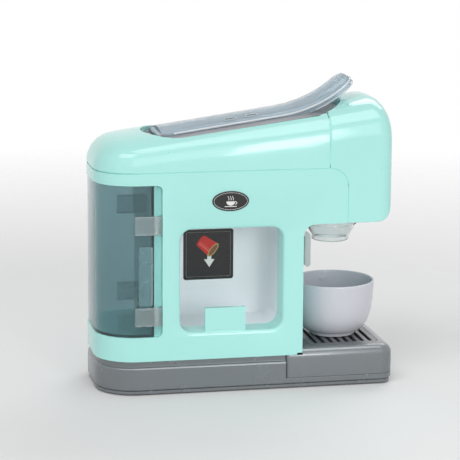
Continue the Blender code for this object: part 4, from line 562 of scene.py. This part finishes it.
NOZZLE_WALL = 1.5 * MM
NOZZLE_FLANGE = 20.5 * MM
NOZZLE_RING = 14.5 * MM
NOZZLE_NECK = 12 * MM
NOZZLE_NECK_RISE = 3.5 * MM
NOZZLE_FLANGE_DROP = 8 * MM
NOZZLE_CONE_DROP = 16.3 * MM
NOZZLE_BORE = 2.8 * MM
NOZZLE_EDGE = 0.4 * MM


def nozzle():
    """Clear funnel under the head: neck, chamfered flange, cone and a short ring at its mouth."""
    low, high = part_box("nozzle")
    top = high.z - NOZZLE_NECK_RISE
    wall = NOZZLE_WALL
    edge = NOZZLE_EDGE
    profile = [(NOZZLE_BORE, high.z), (NOZZLE_NECK, high.z), (NOZZLE_NECK, top),
               (NOZZLE_FLANGE - edge, top), (NOZZLE_FLANGE, top - edge),
               (NOZZLE_FLANGE, top - NOZZLE_FLANGE_DROP + edge),
               (NOZZLE_FLANGE - edge, top - NOZZLE_FLANGE_DROP - edge / 2),
               (NOZZLE_RING + wall / 2, top - NOZZLE_CONE_DROP),
               (NOZZLE_RING, top - NOZZLE_CONE_DROP - wall / 2),
               (NOZZLE_RING, low.z + edge), (NOZZLE_RING - edge, low.z), (NOZZLE_RING - wall + edge, low.z),
               (NOZZLE_RING - wall, low.z + edge), (NOZZLE_RING - wall, top - NOZZLE_CONE_DROP),
               (NOZZLE_FLANGE - 2 * wall, top - NOZZLE_FLANGE_DROP),
               (NOZZLE_FLANGE - 2 * wall, top - wall), (NOZZLE_BORE, top - wall), (NOZZLE_BORE, high.z)]
    bm = bmesh.new()
    lathe(bm, profile, ((low.x + high.x) / 2, 0))
    bmesh.ops.remove_doubles(bm, verts=bm.verts, dist=WELD_REACH)
    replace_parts(as_object("nozzle_funnel", bm, LOOKS["clear"], "body"), "nozzle")


# Badge on the side and label in the bay

# The capsule and the arrow on the label are measured across and up from the frame's origin
BADGE_CENTRE = (-15.1 * MM, SIDE_Y, 147.4 * MM)
BADGE_HALF = (14.0, 7.6)
BADGE_RISE = 0.7
BADGE_EDGE = 0.25 * MM
BADGE_PRINT = (0.6, 0.8)
BADGE_RING_INSET = (1.3, 1.2)
BADGE_RING_STEPS = 128
BOWL_HALF = (3.4, 3.1)
BOWL_TOP = -0.2
BOWL_HANDLE_HALF = (1.3, 1.0)
BOWL_HANDLE_CENTRE = (3.3, -1.4)
BOWL_HANDLE_WIDTH = 0.5
SAUCER = ((-4.6, -4.0), (4.6, -4.0))
SAUCER_WIDTH = 0.55
STEAM_PLACES = (-1.7, 0.0, 1.7)
STEAM_FOOT = 0.7
STEAM_RISE = 3.2
STEAM_SWAY = 0.35
STEAM_TURN = 1.6 * math.pi
STEAM_STEPS = 10
STEAM_WIDTH = 0.42
LABEL_CENTRE = (-20.6 * MM, BAY_Y, 95.3 * MM)
LABEL_HALF = (19.8, 19.9)
LABEL_CORNER = 2.0
LABEL_STITCH_INSET = 2.3
LABEL_STITCH_CORNER = 0.8
CAPSULE_BACK = (-26.4, 106.2)
CAPSULE_RIM = (-16.8, 98.7)
CAPSULE_BACK_HALF = (5.0, 1.6)
CAPSULE_RIM_HALF = (6.2, 1.9)
GOLD_RIM_HALF = (6.3, 2.5)
CAPSULE_MOUTH_HALF = (5.1, 1.6)
CAPSULE_RIM_STEPS = 40
CAPSULE_GLEAMS = ((-2.6, 0.8), (-1.2, 0.35))
GLEAM_SPREAD = 1.15
GLEAM_SHORT = 1.6
ARROW = ((-24.0, 91.4), (-21.5, 91.4), (-21.3, 94.7), (-18.3, 94.7), (-18.2, 91.4), (-15.7, 91.4),
         (-19.8, 85.1))


def badge():
    """Black oval badge with a dashed ring and a plain cup with steam."""
    sheet = Sheet(BADGE_CENTRE)
    bm = bmesh.new()
    sheet.prism(bm, oval(*BADGE_HALF), low=-0.05, high=BADGE_RISE)
    as_object("badge_plate", bm, BLACK_PRINT_AND_SHADE, "body", BADGE_EDGE)
    bm = bmesh.new()
    wide, tall = (half - inset for half, inset in zip(BADGE_HALF, BADGE_RING_INSET))
    ring = oval(wide, tall, BADGE_RING_STEPS)
    sheet.dashes(bm, ring, dash=1.0, gap=0.35, width=0.28, low=0.6, high=0.78)
    as_object("badge_ring", bm, PRINT_WHITE, "body")
    bm = bmesh.new()
    wide, deep = BOWL_HALF
    bowl = [(wide * math.cos(turn), BOWL_TOP + deep * math.sin(turn))
            for turn in sweep(math.pi, math.tau, 16)]
    sheet.prism(bm, bowl, *BADGE_PRINT)
    wide, deep = BOWL_HANDLE_HALF
    u, v = BOWL_HANDLE_CENTRE
    handle = [(u + wide * math.cos(turn), v + deep * math.sin(turn))
              for turn in sweep(math.pi / 2, -math.pi / 2, 12)]
    sheet.stroke(bm, handle, BOWL_HANDLE_WIDTH, *BADGE_PRINT)
    sheet.stroke(bm, SAUCER, SAUCER_WIDTH, *BADGE_PRINT)
    for u in STEAM_PLACES:
        steam = [(u + STEAM_SWAY * math.sin(STEAM_TURN * share), STEAM_FOOT + STEAM_RISE * share)
                 for share in (step / STEAM_STEPS for step in range(STEAM_STEPS + 1))]
        sheet.stroke(bm, steam, STEAM_WIDTH, *BADGE_PRINT)
    as_object("badge_drawing", bm, PRINT_WHITE, "body")


def label():
    """Black sticker in the bay: stitched border, a red capsule with a gold rim and an arrow."""
    sheet = Sheet(LABEL_CENTRE)
    shift = Vector((LABEL_CENTRE[0], LABEL_CENTRE[2])) / MM
    bm = bmesh.new()
    sheet.prism(bm, rounded(*LABEL_HALF, LABEL_CORNER), low=0.02, high=0.14)
    as_object("label_sheet", bm, BLACK_PRINT_AND_SHADE, "body")
    bm = bmesh.new()
    border = rounded(*(half - LABEL_STITCH_INSET for half in LABEL_HALF), LABEL_STITCH_CORNER)
    sheet.dashes(bm, border, dash=0.75, gap=0.55, width=0.3, low=0.13, high=0.2)
    as_object("label_stitches", bm, PRINT_GREY, "body")
    label_capsule(sheet, shift)
    bm = bmesh.new()
    arrow = [(u - shift.x, v - shift.y) for u, v in reversed(ARROW)]
    sheet.prism(bm, arrow, low=0.13, high=0.2)
    as_object("label_arrow", bm, PRINT_WHITE, "body")


def label_capsule(sheet, shift):
    """Red capsule seen from its open end, with a gold rim and two gleams."""
    near = Vector(CAPSULE_BACK) - shift
    rim = Vector(CAPSULE_RIM) - shift
    along = (rim - near).normalized()
    side = Vector((-along.y, along.x))
    bm = bmesh.new()
    turns = sweep(0, math.pi, 12)
    wide, deep = CAPSULE_BACK_HALF
    start = [near + side * (wide * math.cos(turn)) - along * (deep * math.sin(turn)) for turn in turns]
    wide, deep = CAPSULE_RIM_HALF
    end = [rim - side * (wide * math.cos(turn)) + along * (deep * math.sin(turn)) for turn in turns]
    sheet.prism(bm, start + end, low=0.13, high=0.19)
    as_object("label_capsule", bm, PRINT_RED, "body")
    tilt = math.atan2(side.y, side.x)
    bm = bmesh.new()
    sheet.prism(bm, oval(*GOLD_RIM_HALF, CAPSULE_RIM_STEPS, rim, tilt), low=0.18, high=0.23)
    as_object("label_rim", bm, PRINT_GOLD, "body")
    bm = bmesh.new()
    sheet.prism(bm, oval(*CAPSULE_MOUTH_HALF, CAPSULE_RIM_STEPS, rim, tilt), low=0.22, high=0.26)
    as_object("label_mouth", bm, PRINT_BROWN, "body")
    bm = bmesh.new()
    for gleam, width in CAPSULE_GLEAMS:
        line = [near + side * gleam, rim + side * gleam * GLEAM_SPREAD - along * GLEAM_SHORT]
        sheet.stroke(bm, line, width, low=0.18, high=0.2)
    as_object("label_gleam", bm, PRINT_PINK, "body")


# Lever and tank details

DECK_ANGLE = math.radians(8.1)
ALONG_DECK = Vector((math.cos(DECK_ANGLE), 0, math.sin(DECK_ANGLE)))
OVER_DECK = Vector((-math.sin(DECK_ANGLE), 0, math.cos(DECK_ANGLE)))
PIVOT = Vector((-62.0, 0, 192.08)) * MM
RIM_RISE = 1.6 * MM
LEVER_STRAIGHT = 93 * MM
LEVER_CURL_RADIUS = 98 * MM
LEVER_CURL = math.radians(36.4)
LEVER_LENGTH = LEVER_STRAIGHT + LEVER_CURL_RADIUS * LEVER_CURL
LEVER_HALF = 19.5 * MM
LEVER_TIP_RADIUS = 10 * MM
TIP_STEPS = 16
BEAD_RADIUS = 0.8 * MM
BEAD_START = 9 * MM
BEAD_STEPS = 60
BEAD_SIDES = 12
SKIRT_LINE_START = 36 * MM
SKIRT_LINE_STEPS = 40
SKIRT_LINE_DROP = 3.4 * MM
SKIRT_LINE_RADIUS = 0.45 * MM
THIN_SIDES = 8
MARK_CENTRES = (Vector((-9.0, -13.3, 204.45)) * MM, Vector((7.7, -13.1, 206.9)) * MM)
MARK_NORMAL = Vector((-0.14, -0.23, 0.96)).normalized()
MARK_SHAPE = (4.6, 1.7, 1.6)
MARK_EDGE = 0.1 * MM
MARK_RIM_RISE = 0.12
MARK_RIM_RADIUS = 0.3 * MM


def lever_rim(reach):
    """Point at the middle of the lever's rim line, and its direction, at a distance from the pivot."""
    start = PIVOT + OVER_DECK * RIM_RISE
    if reach <= LEVER_STRAIGHT:
        return start + ALONG_DECK * reach, DECK_ANGLE
    direction = DECK_ANGLE + (reach - LEVER_STRAIGHT) / LEVER_CURL_RADIUS
    centre = start + ALONG_DECK * LEVER_STRAIGHT + OVER_DECK * LEVER_CURL_RADIUS
    return centre + Vector((math.sin(direction), 0, -math.cos(direction))) * LEVER_CURL_RADIUS, direction


def lever_line(name, first, steps, drop, radius, sides):
    """Tube along the lever's rim from a distance on, round the tip and back, at a drop below it."""
    straight = LEVER_LENGTH - LEVER_TIP_RADIUS - first
    near = [(first + straight * step / steps, LEVER_HALF) for step in range(steps)]
    for turn in sweep(0, math.pi / 2, TIP_STEPS):
        near.append((LEVER_LENGTH - LEVER_TIP_RADIUS + LEVER_TIP_RADIUS * math.sin(turn),
                     LEVER_HALF - LEVER_TIP_RADIUS + LEVER_TIP_RADIUS * math.cos(turn)))
    path = []
    for reach, half in near:
        point, direction = lever_rim(reach)
        below = Vector((math.sin(direction), 0, -math.cos(direction)))
        path.append(point + below * drop - Vector((0, half, 0)))
    bm = bmesh.new()
    tube(bm, path + mirrored(path[::-1]), radius, sides)
    as_object(name, bm, BEAD_HIGHLIGHT_LOOK, "lever")


def lever_marks():
    """Two ringed oval marks on the lever's top, their pale rims partly painted highlight."""
    across = (ALONG_DECK - MARK_NORMAL * ALONG_DECK.dot(MARK_NORMAL)).normalized()
    for index, centre in enumerate(MARK_CENTRES):
        sheet = Sheet(centre, across, MARK_NORMAL.cross(across))
        outline = rounded(*MARK_SHAPE)
        bm = bmesh.new()
        sheet.prism(bm, outline, low=-0.4, high=0.22)
        as_object(f"lever_mark_{index + 1}", bm, MARK_LOOK, "lever", MARK_EDGE)
        bm = bmesh.new()
        rim = [sheet.at(u, v, MARK_RIM_RISE) for u, v in outline]
        tube(bm, rim, MARK_RIM_RADIUS, THIN_SIDES, closed=True)
        as_object(f"lever_mark_rim_{index + 1}", bm, BEAD_HIGHLIGHT_LOOK, "lever")


def lever_details():
    """Pale bead along the lever's rim, partly painted highlight, a pale line of painted highlight at the
    tip's lower edge, and the marks.
    """
    lever_line("lever_bead", BEAD_START, BEAD_STEPS, 0.0, BEAD_RADIUS, BEAD_SIDES)
    lever_line("lever_skirt_highlight", LEVER_LENGTH - SKIRT_LINE_START, SKIRT_LINE_STEPS, SKIRT_LINE_DROP,
               SKIRT_LINE_RADIUS, THIN_SIDES)
    lever_marks()


TAB_LENGTH = 21 * MM
TAB_HEIGHT = 15 * MM
TAB_LOWS = (53.3 * MM, 122.9 * MM)
TANK_FRONT = -66.8 * MM
STRIP_CENTRE = (-78.8 * MM, -43.3 * MM, 91.5 * MM)
STRIP_SHAPE = (5.2, 22.5, 1.2)
TAB_INSET = 0.5
TAB_CORNER = 0.8
TAB_EDGE_HALF = 0.4
TAB_EDGE_CORNER = 0.35
GRIP_BACK = 4.4 * MM
GRIP_HALF = 1.5
GRIP_INSET = 0.8
GRIP_CORNER = 0.6


def level_strip():
    """Milky level strip inside the tank's near wall."""
    bm = bmesh.new()
    Sheet(STRIP_CENTRE).prism(bm, rounded(*STRIP_SHAPE), low=-0.25, high=0.05)
    as_object("tank_level_strip", bm, STRIP_LOOK, "tank")


def tank_tabs():
    """Frosted face on each snap tab, with two long milky edges, their paleness partly painted highlight,
    and a grip.
    """
    faces = bmesh.new()
    edges = bmesh.new()
    long = TAB_LENGTH / MM / 2 - TAB_INSET
    tall = TAB_HEIGHT / MM / 2 - TAB_INSET
    for side in (-1, 1):
        for low in TAB_LOWS:
            middle = low + TAB_HEIGHT / 2
            face = Sheet((TANK_FRONT - TAB_LENGTH / 2, side * -SIDE_Y, middle), (-side, 0, 0))
            face.prism(faces, rounded(long, tall, TAB_CORNER), low=-0.1, high=0.08)
            # Long edges: raised milky ribs, their paleness partly painted highlight
            for rise in (-1, 1):
                shift = rise * (tall - TAB_EDGE_HALF)
                line = [(u, v + shift) for u, v in rounded(long, TAB_EDGE_HALF, TAB_EDGE_CORNER)]
                face.prism(edges, line, low=0.02, high=0.3)
            grip = Sheet((TANK_FRONT - GRIP_BACK, side * -SIDE_Y, middle), (-side, 0, 0))
            grip.prism(edges, rounded(GRIP_HALF, tall - GRIP_INSET, GRIP_CORNER), low=0.02, high=0.35)
    as_object("tank_tab_faces", faces, FROSTED, "tank")
    as_object("tank_tab_edges", edges, STRIP_LOOK, "tank")


# Seams, closed behind by the lips of the shells

SEAM_Z = 169.5 * MM
SEAM_X = 61.7 * MM
SEAM_CORNER = 14 * MM
SEAM_BOTTOM = 127.8 * MM
REAR_CENTRE_X = -84.5 * MM
LIP_RADIUS = 1.1 * MM
LIP_DEPTH = 1.55 * MM
LIP_SIDES = 10
SEAM_STEP = 12 * MM
SEAM_STEPS = 13
SEAM_CORNER_STEPS = 12
REAR_STEPS = 32
ARCH_STEPS = 11
ARCH_TURN = math.radians(44)
BESIDE_SEAM = 0.8 * MM
FAR = 0.3


def outer_skin():
    """Ray caster on the shells as they stand at rest."""
    places = []
    faces = []
    for name in ("body_right", "body_left", "top_cover", "head_cover"):
        mesh = NODES[name].data
        start = len(places)
        places += [vertex.co.copy() for vertex in mesh.vertices]
        faces += [[start + index for index in face.vertices] for face in mesh.polygons]
    return BVHTree.FromPolygons(places, faces)


def seam_lips():
    """Mint lips of the shells that show at the bottom of the seams."""
    skin = outer_skin()

    def under(target, inward, shift=Vector((0, 0, 0))):
        """Point a lip's depth under the skin, looked for beside the seam."""
        inward = Vector(inward).normalized()
        hit = skin.ray_cast(Vector(target) + shift - inward * FAR, inward)[0]
        return hit + inward * LIP_DEPTH - shift

    above = Vector((-BESIDE_SEAM, 0, BESIDE_SEAM))
    behind = Vector((-BESIDE_SEAM, 0, 0))
    outward = Vector((BESIDE_SEAM, 0, BESIDE_SEAM))
    level = [under((SEAM_X - SEAM_STEP * step, 0, SEAM_Z), (0, 1, 0), above) for step in range(SEAM_STEPS)]
    level += [under((REAR_CENTRE_X, 0, SEAM_Z), (math.sin(turn), math.cos(turn), 0), above)
              for turn in sweep(0, math.pi, REAR_STEPS)[1:-1]]
    level += mirrored(level[SEAM_STEPS - 1::-1])
    paths = [level]
    for side in (-1, 1):
        corner = [(SEAM_X + SEAM_CORNER * math.sin(turn), 0, SEAM_Z - SEAM_CORNER * (1 - math.cos(turn)))
                  for turn in sweep(0, math.pi / 2, SEAM_CORNER_STEPS)]
        corner.append((SEAM_X + SEAM_CORNER, 0, SEAM_BOTTOM))
        paths.append([under(point, (0, -side, 0), outward) for point in corner])
        arch = [under((SEAM_X, 0, SEAM_Z), (0, -side * math.cos(turn), -math.sin(turn)), behind)
                for turn in sweep(0, ARCH_TURN, ARCH_STEPS)[1:]]
        paths.append(arch)
    bm = bmesh.new()
    for path in paths:
        tube(bm, path, LIP_RADIUS, LIP_SIDES)
    as_object("seam_lips", bm, LOOKS["mint"], "body")


# Underside and fasteners

CROSS_REACH = 0.6
CROSS_HALF_WIDTH = 0.13
RIDGES = 5
RIDGE_STEP = 1.9
RIDGE_SHAPE = (0.35, 7.0, 0.3)
GRIP_FROM_EDGE = 7 * MM
WORD_SIZE = 3.0 * MM
WORD_DROP = 4.2 * MM
WORD_RELIEF = 0.08 * MM
WORDS = (("OFF", -1.5 * MM), ("ON", 4.5 * MM))


def screw_cross_shade():
    """Black cross on the head of every screw, painted shade for its cross recess."""
    bm = bmesh.new()
    for name in NODES:
        if "_screw" not in name:
            continue
        low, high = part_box(name)
        middle = (low + high) / 2
        if name.startswith("body"):
            sheet = Sheet((middle.x, high.y, middle.z), (-1, 0, 0))
        else:
            sheet = Sheet((middle.x, middle.y, low.z), (1, 0, 0), (0, -1, 0))
        half = (high.x - low.x) / MM / 2
        long = half * CROSS_REACH
        wide = half * CROSS_HALF_WIDTH
        # Flat black cross: painted shade for the recess
        for u, v in ((long, wide), (wide, long)):
            sheet.prism(bm, [(-u, -v), (u, -v), (u, v), (-u, v)], low=-0.02, high=0.03)
    as_object("screw_cross_shade", bm, BLACK_PRINT_AND_SHADE, "body")


def door_grip():
    """Ridges on the battery door."""
    low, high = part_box("battery_cover")
    bm = bmesh.new()
    sheet = Sheet((high.x - GRIP_FROM_EDGE, 0, low.z), (1, 0, 0), (0, -1, 0))
    for index in range(RIDGES):
        shift = (index - (RIDGES - 1) / 2) * RIDGE_STEP
        sheet.prism(bm, [(u + shift, v) for u, v in rounded(*RIDGE_SHAPE)], low=-0.1, high=0.35)
    as_object("door_grip", bm, LOOKS["base_silver"], "body")


def switch_words():
    """ON and OFF on the base plate beside the slider, to be read from below."""
    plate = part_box("base_plate")[0].z
    low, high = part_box("power_switch")
    middle = (low + high) / 2
    for word, shift in WORDS:
        curve = bpy.data.curves.new(f"word_{word.lower()}", "FONT")
        curve.body = word
        curve.size = WORD_SIZE
        curve.extrude = WORD_RELIEF
        curve.align_x = "CENTER"
        curve.materials.append(PRINT_WHITE)
        made = bpy.data.objects.new(f"word_{word.lower()}", curve)
        SCENE.collection.objects.link(made)
        place = Matrix.Translation((middle.x + shift, middle.y - WORD_DROP, plate))
        made.matrix_world = place @ Matrix(((1, 0, 0), (0, -1, 0), (0, 0, -1))).to_4x4()
        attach(made, "body")


# Surroundings

FLOOR_REACH = 1.6
FLOOR_CLEAR_START = 0.42
FLOOR_CLEAR_END = 1.15
FLOOR_STEPS = 96
FLOOR_CLOUD_SCALE = 3.0
FLOOR_GRAIN_SCALE = 40.0
FLOOR_GREYS = ((0.88, 0.88, 0.88, 1), (0.90, 0.90, 0.90, 1))
FLOOR_ROUGHNESS = (0.72, 0.82)
WHITE = (1, 1, 1, 1)
WORLD_LIGHT = 0.45
WORLD_WHITE = 1.0
CAMERA_PLACE = (-0.3222, -1.4894, 0.4209)
CAMERA_YAW = math.radians(12.0)
CAMERA_PITCH = math.radians(11.325)
CAMERA_ROLL = math.radians(0.3857)
CAMERA_LENS = 157.5
SENSOR_WIDTH = 36.0
NEAR_CLIP = 0.05
FAR_CLIP = 30.0


def area_light(name, place, target, size, power, gloss_only=False):
    """Rectangular lamp that faces a target; a gloss-only one lights no matt colour, only reflections."""
    light = bpy.data.lights.new(name, "AREA")
    light.shape = "RECTANGLE"
    light.size, light.size_y = size
    light.energy = power
    lamp = bpy.data.objects.new(name, light)
    SCENE.collection.objects.link(lamp)
    lamp.location = place
    lamp.rotation_euler = (Vector(target) - Vector(place)).to_track_quat("-Z", "Y").to_euler()
    lamp.visible_diffuse = not gloss_only


def floor():
    """Pale matt floor that fades out into the white surroundings and is clear from below."""
    n = Nodes("pale_floor")
    clouds = n.spread(n.noise(FLOOR_CLOUD_SCALE), 0.0, 1.0)
    n.join(n.mix(clouds, *FLOOR_GREYS), n.shader.inputs["Base Color"])
    n.join(n.spread(n.noise(FLOOR_GRAIN_SCALE), *FLOOR_ROUGHNESS), n.shader.inputs["Roughness"])
    far = n.add("ShaderNodeVectorMath", operation="LENGTH")
    n.join(n.place, far.inputs[0])
    seen = n.spread(far.outputs["Value"], 1.0, 0.0, FLOOR_CLEAR_START, FLOOR_CLEAR_END)
    above = n.add("ShaderNodeMath", operation="SUBTRACT", use_clamp=True)
    n.join(seen, above.inputs[0])
    n.join(n.add("ShaderNodeNewGeometry").outputs["Backfacing"], above.inputs[1])
    n.join(above.outputs["Value"], n.shader.inputs["Alpha"])
    bm = bmesh.new()
    bmesh.ops.create_circle(bm, cap_ends=True, segments=FLOOR_STEPS, radius=FLOOR_REACH)
    mesh = bpy.data.meshes.new("floor")
    bm.to_mesh(mesh)
    bm.free()
    mesh.materials.append(n.material)
    made = bpy.data.objects.new("floor", mesh)
    SCENE.collection.objects.link(made)


def world():
    """Soft even light, with white where the viewer, a gloss or a clear part looks past the object."""
    made = bpy.data.worlds.new("studio")
    SCENE.world = made
    made.use_nodes = True
    nodes = made.node_tree.nodes
    links = made.node_tree.links
    base = nodes["Background"]
    base.inputs["Color"].default_value = WHITE
    base.inputs["Strength"].default_value = WORLD_LIGHT
    seen = nodes.new("ShaderNodeBackground")
    seen.inputs["Color"].default_value = WHITE
    seen.inputs["Strength"].default_value = WORLD_WHITE
    rays = nodes.new("ShaderNodeLightPath")
    total = rays.outputs["Is Camera Ray"]
    for ray in ("Is Transmission Ray", "Is Glossy Ray"):
        either = nodes.new("ShaderNodeMath")
        either.operation = "MAXIMUM"
        links.new(total, either.inputs[0])
        links.new(rays.outputs[ray], either.inputs[1])
        total = either.outputs[0]
    blend = nodes.new("ShaderNodeMixShader")
    links.new(total, blend.inputs["Fac"])
    links.new(base.outputs["Background"], blend.inputs[1])
    links.new(seen.outputs["Background"], blend.inputs[2])
    links.new(blend.outputs["Shader"], nodes["World Output"].inputs["Surface"])


def camera():
    """The photograph's viewpoint."""
    level = math.cos(CAMERA_PITCH)
    ahead = Vector((math.sin(CAMERA_YAW) * level, math.cos(CAMERA_YAW) * level, -math.sin(CAMERA_PITCH)))
    flat = ahead.cross(Vector((0, 0, 1))).normalized()
    high = flat.cross(ahead)
    right = flat * math.cos(CAMERA_ROLL) + high * math.sin(CAMERA_ROLL)
    up = high * math.cos(CAMERA_ROLL) - flat * math.sin(CAMERA_ROLL)
    data = bpy.data.cameras.new("camera")
    data.lens = CAMERA_LENS
    data.sensor_width = SENSOR_WIDTH
    data.clip_start = NEAR_CLIP
    data.clip_end = FAR_CLIP
    eye = bpy.data.objects.new("camera", data)
    SCENE.collection.objects.link(eye)
    turn = Matrix((right, up, -ahead)).transposed().to_4x4()
    eye.matrix_world = Matrix.Translation(CAMERA_PLACE) @ turn
    SCENE.camera = eye


def lamps():
    """Soft key from the left, the upright streak on the side, the gloss on top, a fill and a rear light."""
    area_light("key", place=(-0.9, -1.1, 1.9), target=(0, 0, 0.1), size=(1.4, 1.0), power=14.5)
    streak = {"target": (0, -0.045, 0.185), "size": (0.213, 0.46)}
    area_light("softbox", place=(0.223, -1.2, 0.37), power=1.9, **streak)
    area_light("gleam", place=(0.223, -1.21, 0.37), power=0.4, gloss_only=True, **streak)
    area_light("overhead", place=(0.25, -0.45, 1.5), target=(0.03, 0, 0.2), size=(0.9, 1.1), power=9.5,
               gloss_only=True)
    area_light("front", place=(0.2, -2.2, 0.75), target=(0, 0, 0.12), size=(1.6, 1.0), power=7.5)
    area_light("rear", place=(0.9, 1.3, 1.5), target=(0, 0, 0.1), size=(1.2, 0.8), power=9)


SCENE.view_settings.view_transform = "Standard"
dress_frame()
cup()
nozzle()
badge()
label()
lever_details()
level_strip()
tank_tabs()
seam_lips()
screw_cross_shade()
door_grip()
switch_words()
floor()
world()
camera()
lamps()
